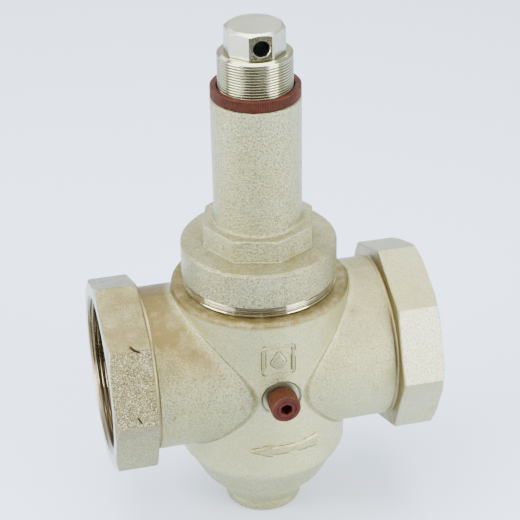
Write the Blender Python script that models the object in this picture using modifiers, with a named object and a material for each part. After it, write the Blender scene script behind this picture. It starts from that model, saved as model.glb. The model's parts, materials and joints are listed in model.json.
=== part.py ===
"""Pressure reducing valve, direct-acting piston type, with two 3 inch female threaded ends.

The pipe axis runs along X (inlet at +X, outlet at -X) and every turned piece of the valve's
working parts stands on the vertical Z axis. The origin is under the middle of the bottom boss.
Heights named *_LEVEL are measured from the pipe axis. Lengths are in metres.
The pieces stand as they do with no water in the pipe: the spring holds the valve open.
"""
import math

import bmesh
import bpy
from mathutils import Matrix, Vector

# ---------------------------------------------------------------- driving dimensions
GAP = 0.0003                      # clearance between pieces that touch
PIPE_AXIS_Z = 0.0995              # height of the pipe axis above the boss that the valve stands on

# cast body
FACE_TO_FACE = 0.1834             # from the inlet face to the outlet face
END_CORNER_RADIUS = 0.0550        # octagonal ends, centre to corner
END_CHAMFER_RADIUS = 0.0515       # where the turned chamfer meets each end face
END_LENGTH = 0.0240
NECK_RADIUS = 0.0456              # round pipe between an octagonal end and the barrel
BARREL_RADIUS = 0.0490
BARREL_TOP_LEVEL = 0.0490
BARREL_FOOT_RADIUS = 0.0474
BARREL_FOOT_LEVEL = -0.0545
BOWL_PROFILE = [(0.0450, -0.0575), (0.0396, -0.0675), (0.0362, -0.0745), (0.0310, -0.0805),
                (0.0262, -0.0868)]   # radius and level down the bowl, from the barrel to the boss
BOSS_RADIUS = 0.0222
BOSS_TOP_LEVEL = -0.0905

# port threads (3 inch parallel pipe thread, shown by its mean radius)
THREAD_RADIUS = 0.0430
THREAD_LENGTH = 0.0270
THREAD_MOUTH_RADIUS = 0.0447
WATERWAY_RADIUS = 0.0390

# chambers inside the body
UPPER_CHAMBER_RADIUS = 0.0380
LOWER_CHAMBER_RADIUS = 0.0405
LOWER_CHAMBER_FLOOR_LEVEL = -0.0580
PARTITION_TOP_LEVEL = -0.0090
PARTITION_BOTTOM_LEVEL = -0.0170
SEAT_HOLE_RADIUS = 0.0300
BALANCE_BORE_RADIUS = 0.0200
BALANCE_FLOOR_LEVEL = -0.0850
INLET_WALL_X = 0.0440             # face of the wall that keeps inlet water out of the upper chamber
OUTLET_WALL_X = -0.0460           # face of the wall that keeps it out of the outlet
PASSAGE_SILL = 0.0006             # each passage starts this far clear of the partition

# gauge ports
PORT_FACE_Y = 0.0469              # distance of each spot face from the vertical axis
PORT_FACE_RADIUS = 0.0112
PORT_FACE_DRAFT = 0.0003          # the wall round a spot face widens outwards by this much
PORT_HOLE_RADIUS = 0.0066
PLUG_HEAD_RADIUS = 0.0082
PLUG_HEAD_LENGTH = 0.0085
PLUG_RING_THICKNESS = 0.0032
SOCKET_FLATS = 0.0060
SOCKET_DEPTH = 0.0060

# bonnet
BONNET_SKIRT_LEVEL = 0.0240
BAND_RADIUS = 0.0420
BAND_TOP_LEVEL = 0.0546
O_RING_GROOVE_RADIUS = 0.0350     # floor of the groove in the skirt
O_RING_GROOVE_TOP_LEVEL = 0.0478
O_RING_GROOVE_BOTTOM_LEVEL = 0.0446
FLANGE_RADIUS = 0.0426
FLANGE_TOP_LEVEL = 0.0748
COLLAR_CORNER_RADIUS = 0.0316
COLLAR_BOTTOM_LEVEL = 0.0755
COLLAR_TOP_LEVEL = 0.0877
COLLAR_TURN = math.radians(-105.7)   # direction of one of the collar's flats
TUBE_RADIUS = 0.0239
TUBE_TOP_LEVEL = 0.1590
TUBE_BORE_RADIUS = 0.0201
CYLINDER_RADIUS = 0.0320          # bore in which the large piston slides
CYLINDER_TOP_LEVEL = 0.0660

# lock ring and adjusting screw
LOCK_RING_TOP_LEVEL = 0.1654
LOCK_RING_RADIUS = 0.0238
SCREW_RADIUS = 0.0198             # M40 x 1.5
SCREW_BOTTOM_LEVEL = 0.1390
SCREW_SHOULDER_LEVEL = 0.1841
HEAD_FLAT_RADIUS = 0.0150         # 30 mm across its eight flats
HEAD_RADIUS = 0.0160              # its corners are rounded by the 32 mm bar
HEAD_TOP_LEVEL = 0.1980
CROSS_HOLE_RADIUS = 0.0044
CROSS_HOLE_LEVEL = 0.1901

# spring
SPRING_WIRE_RADIUS = 0.0025
SPRING_COIL_RADIUS = 0.0163
SPRING_TURNS = 8
SPRING_DEAD_TURNS = 1             # closed turns at each end

# pieces on the stem
STEM_RADIUS = 0.0060
PISTON_RADIUS = 0.0317
PISTON_BOTTOM_LEVEL = 0.0330
PISTON_TOP_LEVEL = 0.0520
SEAT_BORE_RADIUS = 0.0240
SEAT_LIP_LEVEL = -0.0210
VALVE_LIFT = 0.0100               # from fully open to closed
HOLDER_RADIUS = 0.0285
BALANCE_PISTON_RADIUS = 0.0197
BALANCE_PISTON_BOTTOM_LEVEL = -0.0820
BALANCE_PISTON_TOP_LEVEL = -0.0660

# roundness of the turned pieces
LARGE_STEPS = 36
SMALL_STEPS = 20

MERGE = 0.00001                   # merge distance, far below the smallest edge

# ---------------------------------------------------------------- scene and collections
for old in list(bpy.data.objects):
    bpy.data.objects.remove(old, do_unlink=True)

PARTS = bpy.data.collections.new("pressure_reducing_valve")
CUTTERS = bpy.data.collections.new("cutters")
for collection in (PARTS, CUTTERS):
    bpy.context.scene.collection.children.link(collection)


def material(name, colour, roughness, metallic):
    made = bpy.data.materials.new(name)
    made.use_nodes = True
    shader = made.node_tree.nodes["Principled BSDF"]
    shader.inputs["Base Color"].default_value = (*colour, 1.0)
    shader.inputs["Roughness"].default_value = roughness
    shader.inputs["Metallic"].default_value = metallic
    return made


CAST_NICKEL = material("cast_nickel", (0.60, 0.57, 0.45), 0.45, 1.0)
TURNED_NICKEL = material("turned_nickel", (0.66, 0.64, 0.57), 0.22, 1.0)
BRASS = material("brass", (0.72, 0.55, 0.25), 0.30, 1.0)
STAINLESS = material("stainless", (0.62, 0.62, 0.63), 0.25, 1.0)
SPRING_STEEL = material("spring_steel", (0.30, 0.31, 0.33), 0.40, 1.0)
BROWN_PLASTIC = material("brown_plastic", (0.20, 0.045, 0.03), 0.45, 0.0)
WHITE_PLASTIC = material("white_plastic", (0.80, 0.79, 0.75), 0.40, 0.0)
RUBBER = material("rubber", (0.02, 0.02, 0.02), 0.60, 0.0)


# ---------------------------------------------------------------- building blocks
def add_object(name, mesh, look=None, cutter=False):
    """Link a mesh as a part, or as a hidden cutter."""
    made = bpy.data.objects.new(name, mesh)
    if look:
        mesh.materials.append(look)
    if cutter:
        CUTTERS.objects.link(made)
        made.hide_render = True
        made.display_type = "WIRE"
    else:
        PARTS.objects.link(made)
    return made


def arc(centre, radius, start, end, steps=3):
    """Points of a circular arc in a turned profile; angles in degrees, 0 is outward, 90 is up."""
    angles = [math.radians(start + (end - start) * i / steps) for i in range(steps + 1)]
    return [(centre[0] + radius * math.cos(a), centre[1] + radius * math.sin(a)) for a in angles]


def turned(name, profile, look=None, steps=SMALL_STEPS, level=PIPE_AXIS_Z, cutter=False):
    """Turn a profile of (radius, level) points, listed down the outer side, about the Z axis.

    A profile that starts and ends on the axis is open; any other one is a closed ring. A cutter is
    twisted by half a facet, so that its corners miss the corners of what it cuts.
    """
    mesh = bpy.data.meshes.new(name)
    start = math.pi / steps if cutter else 0.0
    on_axis = profile[0][0] == 0.0
    edges = [(i, i + 1) for i in range(len(profile) - 1)]
    if not on_axis:
        edges.append((len(profile) - 1, 0))
    mesh.from_pydata([(r * math.cos(start), r * math.sin(start), z) for r, z in profile], edges, [])
    made = add_object(name, mesh, look, cutter)
    made.location.z = level
    screw = made.modifiers.new("turn", "SCREW")
    screw.steps = steps
    screw.render_steps = steps
    screw.use_merge_vertices = True
    screw.merge_threshold = MERGE
    return made


def ring_profile(inner, outer, bottom, top, chamfer=0.0003):
    """A ring of rectangular section with chamfered outer edges."""
    return [(inner, top), (outer - chamfer, top), (outer, top - chamfer), (outer, bottom + chamfer),
            (outer - chamfer, bottom), (inner, bottom)]


def disc_profile(outer, bottom, top, chamfer=0.0003):
    """A solid disc with chamfered edges."""
    return [(0.0, top), (outer - chamfer, top), (outer, top - chamfer), (outer, bottom + chamfer),
            (outer - chamfer, bottom), (0.0, bottom)]


def round_ring(name, mid_radius, cord_radius, level, look=RUBBER, sides=8, steps=SMALL_STEPS):
    """An O-ring at a given level."""
    points = arc((mid_radius, level), cord_radius, 90, -270 + 360 / sides, sides - 1)
    return turned(name, points, look, steps)


def prism(name, corners, corner_radius, bottom, top, turn=0.0, look=None, cutter=False):
    """A regular prism about Z; turn is the direction of its first corner."""
    mesh = bpy.data.meshes.new(name)
    shape = bmesh.new()
    place = Matrix.Translation((0.0, 0.0, (bottom + top) / 2)) @ Matrix.Rotation(turn, 4, "Z")
    bmesh.ops.create_cone(shape, cap_ends=True, segments=corners, radius1=corner_radius,
                          radius2=corner_radius, depth=top - bottom, matrix=place)
    shape.to_mesh(mesh)
    shape.free()
    made = add_object(name, mesh, look, cutter)
    made.location.z = PIPE_AXIS_Z
    return made


def block(name, low, high):
    """A box cutter between two corners, with heights measured from the pipe axis."""
    mesh = bpy.data.meshes.new(name)
    shape = bmesh.new()
    size = Vector(high) - Vector(low)
    place = Matrix.Translation((Vector(high) + Vector(low)) / 2) @ Matrix.Diagonal((*size, 1.0))
    bmesh.ops.create_cube(shape, size=1.0, matrix=place)
    shape.to_mesh(mesh)
    shape.free()
    made = add_object(name, mesh, cutter=True)
    made.location.z = PIPE_AXIS_Z
    return made


def boolean(target, tool, operation):
    change = target.modifiers.new(operation.lower(), "BOOLEAN")
    change.operation = operation
    change.object = tool


def boolean_group(target, tools, operation, group):
    """Join or cut with several tools at once, which keeps one clean surface."""
    collection = bpy.data.collections.new(group)
    CUTTERS.children.link(collection)
    for tool in tools:
        CUTTERS.objects.unlink(tool)
        collection.objects.link(tool)
    change = target.modifiers.new(group, "BOOLEAN")
    change.operation = operation
    change.operand_type = "COLLECTION"
    change.collection = collection


def lay(made, direction):
    """Lay a piece that was made along +Z so that its +Z points along a horizontal direction."""
    made.rotation_mode = "QUATERNION"
    made.rotation_quaternion = Vector((0, 0, 1)).rotation_difference(Vector(direction))
    return made


# ---------------------------------------------------------------- valve body
def barrel():
    """The upright barrel with its rounded rim, the bowl and the boss under it."""
    rim_round = 0.0025
    boss_round = 0.0030
    boss_bottom = -PIPE_AXIS_Z
    profile = [(0.0, BARREL_TOP_LEVEL)]
    profile += arc((BARREL_RADIUS - rim_round, BARREL_TOP_LEVEL - rim_round), rim_round, 90, 0)
    profile += [(BARREL_FOOT_RADIUS, BARREL_FOOT_LEVEL), *BOWL_PROFILE,
                (BOSS_RADIUS + 0.0015, BOSS_TOP_LEVEL + 0.0003), (BOSS_RADIUS, BOSS_TOP_LEVEL)]
    profile += arc((BOSS_RADIUS - boss_round, boss_bottom + boss_round), boss_round, 0, -90)
    profile += [(0.0, boss_bottom)]
    return turned("valve_body", profile, CAST_NICKEL, LARGE_STEPS)


def pipe_end(side):
    """One octagonal end with its turned chamfer, laid along the pipe axis on side +1 or -1."""
    inner = FACE_TO_FACE / 2 - END_LENGTH
    outer = FACE_TO_FACE / 2
    octagon = prism("end_octagon", 8, END_CORNER_RADIUS, inner, outer, cutter=True)
    back_chamfer = 0.0020
    limit = turned("end_chamfer", [(0.0, outer), (END_CHAMFER_RADIUS, outer),
                                   (END_CORNER_RADIUS, outer - 0.0018),
                                   (END_CORNER_RADIUS, inner + back_chamfer / 2),
                                   (END_CORNER_RADIUS - back_chamfer, inner), (0.0, inner)],
                   steps=LARGE_STEPS, cutter=True)
    boolean(octagon, limit, "INTERSECT")
    for piece in (octagon, limit):
        lay(piece, (side, 0, 0))
    return octagon


def port_cutter(side):
    """The threaded mouth and the start of the waterway, as far as the chamber wall."""
    face = FACE_TO_FACE / 2
    past = face + 0.002
    wall = INLET_WALL_X if side > 0 else -OUTLET_WALL_X
    mouth = face - (THREAD_MOUTH_RADIUS - THREAD_RADIUS)
    profile = [(0.0, past), (THREAD_MOUTH_RADIUS, past), (THREAD_MOUTH_RADIUS, face),
               (THREAD_RADIUS, mouth), (THREAD_RADIUS, face - THREAD_LENGTH),
               (WATERWAY_RADIUS, face - THREAD_LENGTH - 0.003), (WATERWAY_RADIUS, wall), (0.0, wall)]
    return lay(turned("port_cutter", profile, steps=LARGE_STEPS, cutter=True), (side, 0, 0))


def passage_cutter(side, low, high):
    """The part of the waterway that opens into one chamber, between two levels."""
    start = 0.0250                    # inside the chamber
    stop = 0.0470                     # inside the port
    past = 0.0100
    step = 0.0006                     # how much smaller it is than the waterway
    passage = turned("passage_cutter", disc_profile(WATERWAY_RADIUS - step, start, stop, 0.0),
                     steps=LARGE_STEPS, cutter=True)
    lay(passage, (side, 0, 0))
    ends = sorted((side * (start - past), side * (stop + past)))
    width = WATERWAY_RADIUS + past
    limit = block("passage_limit", (ends[0], -width, low), (ends[1], width, high))
    boolean(passage, limit, "INTERSECT")
    return passage


def chamber_cutter():
    """The stepped upright bore: neck and upper chamber, seat hole, lower chamber, balance bore."""
    past = BARREL_TOP_LEVEL + 0.002
    profile = [(0.0, past), (UPPER_CHAMBER_RADIUS, past), (UPPER_CHAMBER_RADIUS, PARTITION_TOP_LEVEL),
               (SEAT_HOLE_RADIUS, PARTITION_TOP_LEVEL), (SEAT_HOLE_RADIUS, PARTITION_BOTTOM_LEVEL),
               (LOWER_CHAMBER_RADIUS, PARTITION_BOTTOM_LEVEL),
               (LOWER_CHAMBER_RADIUS, LOWER_CHAMBER_FLOOR_LEVEL),
               (BALANCE_BORE_RADIUS, LOWER_CHAMBER_FLOOR_LEVEL),
               (BALANCE_BORE_RADIUS, BALANCE_FLOOR_LEVEL), (0.0, BALANCE_FLOOR_LEVEL)]
    return turned("chamber_cutter", profile, steps=LARGE_STEPS, cutter=True)


def gauge_port_cutter(side):
    """Spot face and hole of a gauge port on side -1 (front) or +1 (rear)."""
    past = BARREL_RADIUS + 0.002
    inside = UPPER_CHAMBER_RADIUS - 0.004
    profile = [(0.0, past), (PORT_FACE_RADIUS + PORT_FACE_DRAFT, past), (PORT_FACE_RADIUS, PORT_FACE_Y),
               (PORT_HOLE_RADIUS, PORT_FACE_Y), (PORT_HOLE_RADIUS, inside), (0.0, inside)]
    return lay(turned("gauge_port_cutter", profile, cutter=True), (0, side, 0))


def valve_body():
    body = barrel()
    neck_half = FACE_TO_FACE / 2 - END_LENGTH / 2
    neck = turned("pipe_neck", disc_profile(NECK_RADIUS, -neck_half, neck_half, 0.0),
                  steps=LARGE_STEPS, cutter=True)
    lay(neck, (1, 0, 0))
    boolean_group(body, [neck, pipe_end(1), pipe_end(-1)], "UNION", "body_solids")
    hollows = [chamber_cutter(),
               passage_cutter(1, -BARREL_RADIUS, PARTITION_BOTTOM_LEVEL - PASSAGE_SILL),
               passage_cutter(-1, PARTITION_TOP_LEVEL + PASSAGE_SILL, BARREL_RADIUS)]
    for side in (1, -1):
        hollows += [port_cutter(side), gauge_port_cutter(side)]
    boolean_group(body, hollows, "DIFFERENCE", "body_hollows")


# ---------------------------------------------------------------- gauge ports
def gauge_plug(prefix, side):
    """Knurled plastic plug with a hexagon socket, and the ring under its head."""
    ring_outer = PORT_FACE_Y + GAP + PLUG_RING_THICKNESS
    head_start = ring_outer + GAP
    head_end = head_start + PLUG_HEAD_LENGTH
    shank = PORT_HOLE_RADIUS - GAP
    shank_end = UPPER_CHAMBER_RADIUS + 0.001
    edge = 0.0007
    profile = [(0.0, head_end), (PLUG_HEAD_RADIUS - edge, head_end), (PLUG_HEAD_RADIUS, head_end - edge),
               (PLUG_HEAD_RADIUS, head_start), (shank - 0.001, head_start), (shank - 0.001, ring_outer),
               (shank - 0.001, PORT_FACE_Y), (shank, PORT_FACE_Y - 0.001), (shank, shank_end + 0.001),
               (shank - 0.001, shank_end), (0.0, shank_end)]
    plug = turned(prefix + "_gauge_plug", profile, BROWN_PLASTIC)
    socket = prism("hex_socket", 6, SOCKET_FLATS / math.sqrt(3), head_end - SOCKET_DEPTH,
                   head_end + 0.002, cutter=True)
    ring = turned(prefix + "_plug_o_ring",
                  ring_profile(shank - 0.001 + GAP, shank + 0.0013, PORT_FACE_Y + GAP, ring_outer, 0.0009),
                  RUBBER)
    for piece in (plug, socket, ring):
        lay(piece, (0, side, 0))
    boolean(plug, socket, "DIFFERENCE")


# ---------------------------------------------------------------- bonnet
def bonnet():
    """Skirt, band, flange and spring tube turned in one piece, with the octagonal collar."""
    skirt = UPPER_CHAMBER_RADIUS - GAP
    shoulder = BARREL_TOP_LEVEL + GAP
    edge = 0.0010
    profile = [(TUBE_BORE_RADIUS + 0.0008, TUBE_TOP_LEVEL), (TUBE_RADIUS - 0.0007, TUBE_TOP_LEVEL),
               (TUBE_RADIUS, TUBE_TOP_LEVEL - 0.0007), (TUBE_RADIUS, COLLAR_TOP_LEVEL - 0.001),
               (TUBE_RADIUS, COLLAR_BOTTOM_LEVEL), (COLLAR_CORNER_RADIUS, COLLAR_BOTTOM_LEVEL),
               (FLANGE_RADIUS - edge, FLANGE_TOP_LEVEL), (FLANGE_RADIUS, FLANGE_TOP_LEVEL - edge),
               (FLANGE_RADIUS, BAND_TOP_LEVEL), (BAND_RADIUS, BAND_TOP_LEVEL), (BAND_RADIUS, shoulder),
               (skirt, shoulder), (skirt, O_RING_GROOVE_TOP_LEVEL),
               (O_RING_GROOVE_RADIUS, O_RING_GROOVE_TOP_LEVEL),
               (O_RING_GROOVE_RADIUS, O_RING_GROOVE_BOTTOM_LEVEL), (skirt, O_RING_GROOVE_BOTTOM_LEVEL),
               (skirt, BONNET_SKIRT_LEVEL + edge), (skirt - edge, BONNET_SKIRT_LEVEL),
               (CYLINDER_RADIUS + edge, BONNET_SKIRT_LEVEL), (CYLINDER_RADIUS, BONNET_SKIRT_LEVEL + edge),
               (CYLINDER_RADIUS, CYLINDER_TOP_LEVEL), (TUBE_BORE_RADIUS, CYLINDER_TOP_LEVEL),
               (TUBE_BORE_RADIUS, TUBE_TOP_LEVEL - 0.0008)]
    made = turned("bonnet", profile, TURNED_NICKEL, LARGE_STEPS)
    collar_corner = COLLAR_TURN + math.radians(22.5)
    collar = prism("collar_octagon", 8, COLLAR_CORNER_RADIUS, COLLAR_BOTTOM_LEVEL - 0.001,
                   COLLAR_TOP_LEVEL, collar_corner, cutter=True)
    bore = turned("collar_bore", disc_profile(TUBE_RADIUS - 0.001, COLLAR_BOTTOM_LEVEL - 0.003,
                                              COLLAR_TOP_LEVEL + 0.001, 0.0),
                  steps=LARGE_STEPS, cutter=True)
    boolean(collar, bore, "DIFFERENCE")
    boolean(made, collar, "UNION")
    cord = 0.0012
    round_ring("bonnet_o_ring", O_RING_GROOVE_RADIUS + GAP + cord, cord,
               (O_RING_GROOVE_TOP_LEVEL + O_RING_GROOVE_BOTTOM_LEVEL) / 2, steps=LARGE_STEPS)


# ---------------------------------------------------------------- lock ring and adjusting screw
def lock_ring():
    turned("lock_ring", ring_profile(SCREW_RADIUS + GAP, LOCK_RING_RADIUS, TUBE_TOP_LEVEL + GAP,
                                     LOCK_RING_TOP_LEVEL, 0.0006), BROWN_PLASTIC, LARGE_STEPS)


def adjusting_screw():
    """Threaded plug, hollow from below, under an octagonal head with a cross hole."""
    chamfer = 0.0012
    neck = HEAD_FLAT_RADIUS - 0.001
    hollow_radius = 0.0120
    hollow_top = 0.1760
    profile = [(0.0, SCREW_SHOULDER_LEVEL + 0.001), (neck, SCREW_SHOULDER_LEVEL + 0.001),
               (neck, SCREW_SHOULDER_LEVEL), (SCREW_RADIUS - chamfer, SCREW_SHOULDER_LEVEL),
               (SCREW_RADIUS, SCREW_SHOULDER_LEVEL - chamfer),
               (SCREW_RADIUS, SCREW_BOTTOM_LEVEL + chamfer), (SCREW_RADIUS - chamfer, SCREW_BOTTOM_LEVEL),
               (hollow_radius, SCREW_BOTTOM_LEVEL), (hollow_radius, hollow_top), (0.0, hollow_top + 0.004)]
    screw = turned("adjusting_screw", profile, TURNED_NICKEL, LARGE_STEPS)
    corner_radius = HEAD_FLAT_RADIUS / math.cos(math.radians(22.5))
    head = prism("head_octagon", 8, corner_radius, SCREW_SHOULDER_LEVEL - 0.0005, HEAD_TOP_LEVEL,
                 math.radians(22.5), cutter=True)
    top = turned("head_chamfer", [(0.0, HEAD_TOP_LEVEL), (HEAD_RADIUS - 0.0021, HEAD_TOP_LEVEL),
                                  (HEAD_RADIUS, HEAD_TOP_LEVEL - 0.0012),
                                  (HEAD_RADIUS, SCREW_SHOULDER_LEVEL - 0.001),
                                  (0.0, SCREW_SHOULDER_LEVEL - 0.001)], steps=LARGE_STEPS, cutter=True)
    boolean(head, top, "INTERSECT")
    boolean(screw, head, "UNION")
    hole = turned("cross_hole", disc_profile(CROSS_HOLE_RADIUS, -0.02, 0.02, 0.0), steps=24,
                  level=PIPE_AXIS_Z + CROSS_HOLE_LEVEL, cutter=True)
    boolean(screw, lay(hole, (0, -1, 0)), "DIFFERENCE")


# ---------------------------------------------------------------- spring and its plates
UPPER_PLATE_TOP_LEVEL = SCREW_BOTTOM_LEVEL - 0.0015 - 2 * GAP
UPPER_PLATE_BOTTOM_LEVEL = UPPER_PLATE_TOP_LEVEL - 0.0050
LOWER_PLATE_BOTTOM_LEVEL = PISTON_TOP_LEVEL + GAP
LOWER_PLATE_TOP_LEVEL = LOWER_PLATE_BOTTOM_LEVEL + 0.0040


def spring_plates():
    plate_radius = 0.0196
    slip_bottom = UPPER_PLATE_TOP_LEVEL + GAP
    turned("slip_washer", ring_profile(0.0125, plate_radius, slip_bottom, SCREW_BOTTOM_LEVEL - GAP),
           WHITE_PLASTIC)
    pilot = SPRING_COIL_RADIUS - SPRING_WIRE_RADIUS - 0.0008
    pilot_length = 0.0040
    turned("upper_spring_plate",
           [(0.0, UPPER_PLATE_TOP_LEVEL), (plate_radius, UPPER_PLATE_TOP_LEVEL),
            (plate_radius, UPPER_PLATE_BOTTOM_LEVEL), (pilot, UPPER_PLATE_BOTTOM_LEVEL),
            (pilot - 0.0008, UPPER_PLATE_BOTTOM_LEVEL - pilot_length),
            (0.0, UPPER_PLATE_BOTTOM_LEVEL - pilot_length)], BRASS)
    nut_clearance = 0.0105
    turned("lower_spring_plate",
           [(pilot - 0.0008, LOWER_PLATE_TOP_LEVEL + pilot_length), (pilot, LOWER_PLATE_TOP_LEVEL),
            (plate_radius, LOWER_PLATE_TOP_LEVEL), (plate_radius, LOWER_PLATE_BOTTOM_LEVEL),
            (nut_clearance, LOWER_PLATE_BOTTOM_LEVEL),
            (nut_clearance, LOWER_PLATE_TOP_LEVEL + pilot_length)], BRASS)


def pressure_spring():
    """Round-wire compression spring whose end turns are closed."""
    points_per_turn = 12
    low = LOWER_PLATE_TOP_LEVEL + GAP + SPRING_WIRE_RADIUS
    high = UPPER_PLATE_BOTTOM_LEVEL - GAP - SPRING_WIRE_RADIUS
    dead_pitch = 2 * SPRING_WIRE_RADIUS + GAP
    dead_rise = dead_pitch * SPRING_DEAD_TURNS
    live_turns = SPRING_TURNS - 2 * SPRING_DEAD_TURNS
    live_pitch = (high - low - 2 * dead_rise) / live_turns
    count = SPRING_TURNS * points_per_turn + 1
    curve = bpy.data.curves.new("spring_wire", "CURVE")
    curve.dimensions = "3D"
    curve.bevel_depth = SPRING_WIRE_RADIUS
    curve.bevel_resolution = 2
    curve.use_fill_caps = True
    line = curve.splines.new("POLY")
    line.points.add(count - 1)
    for index in range(count):
        turn = index / points_per_turn
        level = low + dead_pitch * min(turn, SPRING_DEAD_TURNS)
        level += live_pitch * min(max(turn - SPRING_DEAD_TURNS, 0.0), live_turns)
        level += dead_pitch * max(turn - SPRING_DEAD_TURNS - live_turns, 0.0)
        angle = 2 * math.pi * turn
        line.points[index].co = (SPRING_COIL_RADIUS * math.cos(angle),
                                 SPRING_COIL_RADIUS * math.sin(angle), level, 1.0)
    wire = bpy.data.objects.new("pressure_spring", curve)
    curve.materials.append(SPRING_STEEL)
    wire.location.z = PIPE_AXIS_Z
    PARTS.objects.link(wire)


# ---------------------------------------------------------------- stem group
def hex_nut(name, flats, bottom, top, bore):
    nut = prism(name, 6, flats / math.sqrt(3), bottom, top, look=STAINLESS)
    hole = turned(name + "_bore", disc_profile(bore, bottom - 0.001, top + 0.001, 0.0), steps=24,
                  cutter=True)
    boolean(nut, hole, "DIFFERENCE")


STEM_BORE = STEM_RADIUS + GAP
UPPER_WASHER_THICKNESS = 0.0015
STEM_SHOULDER_RADIUS = 0.0090
GASKET_THICKNESS = 0.0035
GASKET_TOP_LEVEL = SEAT_LIP_LEVEL - VALVE_LIFT
HOLDER_TOP_LEVEL = GASKET_TOP_LEVEL - GAP
HOLDER_BOTTOM_LEVEL = HOLDER_TOP_LEVEL - 0.0100
RETAINER_RADIUS = 0.0205


def valve_stem():
    """Stainless rod with a shoulder under the piston; nuts hold the pieces at both ends."""
    shoulder_top = PISTON_BOTTOM_LEVEL - GAP
    shoulder_bottom = shoulder_top - 0.0050
    top = PISTON_TOP_LEVEL + 0.0110
    bottom = BALANCE_PISTON_BOTTOM_LEVEL + 0.0010
    chamfer = 0.0008
    turned("valve_stem",
           [(0.0, top), (STEM_RADIUS - chamfer, top), (STEM_RADIUS, top - chamfer),
            (STEM_RADIUS, shoulder_top), (STEM_SHOULDER_RADIUS, shoulder_top),
            (STEM_SHOULDER_RADIUS, shoulder_bottom), (STEM_RADIUS, shoulder_bottom - 0.002),
            (STEM_RADIUS, bottom + chamfer), (STEM_RADIUS - chamfer, bottom), (0.0, bottom)], STAINLESS)


def piston():
    """Large sensing piston with grooves for its seal and its guide band."""
    seal_low = PISTON_BOTTOM_LEVEL + 0.0040
    seal_high = seal_low + 0.0040
    band_low = seal_high + 0.0025
    band_high = band_low + 0.0060
    seal_floor = PISTON_RADIUS - 0.0037
    band_floor = PISTON_RADIUS - 0.0020
    dish_radius = 0.0275
    web_level = PISTON_BOTTOM_LEVEL + 0.0060
    top = PISTON_TOP_LEVEL
    turned("piston",
           [(STEM_BORE, top), (PISTON_RADIUS - 0.0006, top), (PISTON_RADIUS, top - 0.0006),
            (PISTON_RADIUS, band_high), (band_floor, band_high), (band_floor, band_low),
            (PISTON_RADIUS, band_low), (PISTON_RADIUS, seal_high), (seal_floor, seal_high),
            (seal_floor, seal_low), (PISTON_RADIUS, seal_low), (PISTON_RADIUS, PISTON_BOTTOM_LEVEL + 0.001),
            (PISTON_RADIUS - 0.001, PISTON_BOTTOM_LEVEL), (dish_radius, PISTON_BOTTOM_LEVEL),
            (dish_radius - 0.002, web_level), (STEM_SHOULDER_RADIUS + 0.004, web_level),
            (STEM_SHOULDER_RADIUS + 0.002, PISTON_BOTTOM_LEVEL), (STEM_BORE, PISTON_BOTTOM_LEVEL)],
           BRASS)
    cord = (seal_high - seal_low) / 2 - GAP
    round_ring("piston_seal", seal_floor + GAP + cord, cord, (seal_low + seal_high) / 2)
    turned("piston_guide_band", ring_profile(band_floor + GAP, PISTON_RADIUS + 0.0001, band_low + GAP,
                                             band_high - GAP, 0.0002), WHITE_PLASTIC)
    washer_bottom = top + GAP
    washer_top = washer_bottom + UPPER_WASHER_THICKNESS
    turned("upper_stem_washer", ring_profile(STEM_BORE, 0.0098, washer_bottom, washer_top), STAINLESS)
    hex_nut("upper_stem_nut", 0.0170, washer_top + GAP, washer_top + GAP + 0.0080, STEM_BORE)


def seat():
    """Seat ring screwed into the partition from above, with an O-ring under its flange."""
    flange_radius = 0.0340
    flange_bottom = PARTITION_TOP_LEVEL + 0.0022
    flange_top = flange_bottom + 0.0050
    lip = 0.0010
    turned("seat_ring",
           [(SEAT_BORE_RADIUS + 0.001, flange_top), (flange_radius, flange_top),
            (flange_radius, flange_bottom), (SEAT_HOLE_RADIUS - GAP, flange_bottom),
            (SEAT_HOLE_RADIUS - GAP, SEAT_LIP_LEVEL + 0.0015), (SEAT_BORE_RADIUS + lip, SEAT_LIP_LEVEL + 0.0015),
            (SEAT_BORE_RADIUS + lip, SEAT_LIP_LEVEL), (SEAT_BORE_RADIUS, SEAT_LIP_LEVEL),
            (SEAT_BORE_RADIUS, flange_top - 0.001)], STAINLESS)
    cord = (flange_bottom - PARTITION_TOP_LEVEL) / 2 - GAP
    round_ring("seat_o_ring", SEAT_HOLE_RADIUS + 0.0018, cord, PARTITION_TOP_LEVEL + GAP + cord,
               sides=6)


def closing_disc():
    """Cup-shaped holder, flat gasket, retainer plate and nut, all on the stem."""
    pocket_floor = GASKET_TOP_LEVEL - GASKET_THICKNESS - GAP
    rim_inner = HOLDER_RADIUS - 0.0018
    turned("disc_holder",
           [(rim_inner, HOLDER_TOP_LEVEL), (HOLDER_RADIUS, HOLDER_TOP_LEVEL),
            (HOLDER_RADIUS, HOLDER_BOTTOM_LEVEL + 0.004), (HOLDER_RADIUS - 0.010, HOLDER_BOTTOM_LEVEL),
            (STEM_BORE, HOLDER_BOTTOM_LEVEL), (STEM_BORE, pocket_floor), (rim_inner, pocket_floor)],
           BRASS)
    gasket_bottom = pocket_floor + GAP
    turned("disc_gasket", ring_profile(RETAINER_RADIUS - 0.0035, rim_inner - GAP, gasket_bottom,
                                       GASKET_TOP_LEVEL, 0.0002), RUBBER)
    retainer_top = GASKET_TOP_LEVEL + GAP + 0.0025
    pilot = RETAINER_RADIUS - 0.0035 - GAP
    turned("gasket_retainer",
           [(STEM_BORE, retainer_top), (RETAINER_RADIUS, retainer_top),
            (RETAINER_RADIUS, GASKET_TOP_LEVEL + GAP), (pilot, GASKET_TOP_LEVEL + GAP),
            (pilot, gasket_bottom), (STEM_BORE, gasket_bottom)], STAINLESS)
    hex_nut("gasket_nut", 0.0170, retainer_top + GAP, retainer_top + GAP + 0.0070, STEM_BORE)


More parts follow.
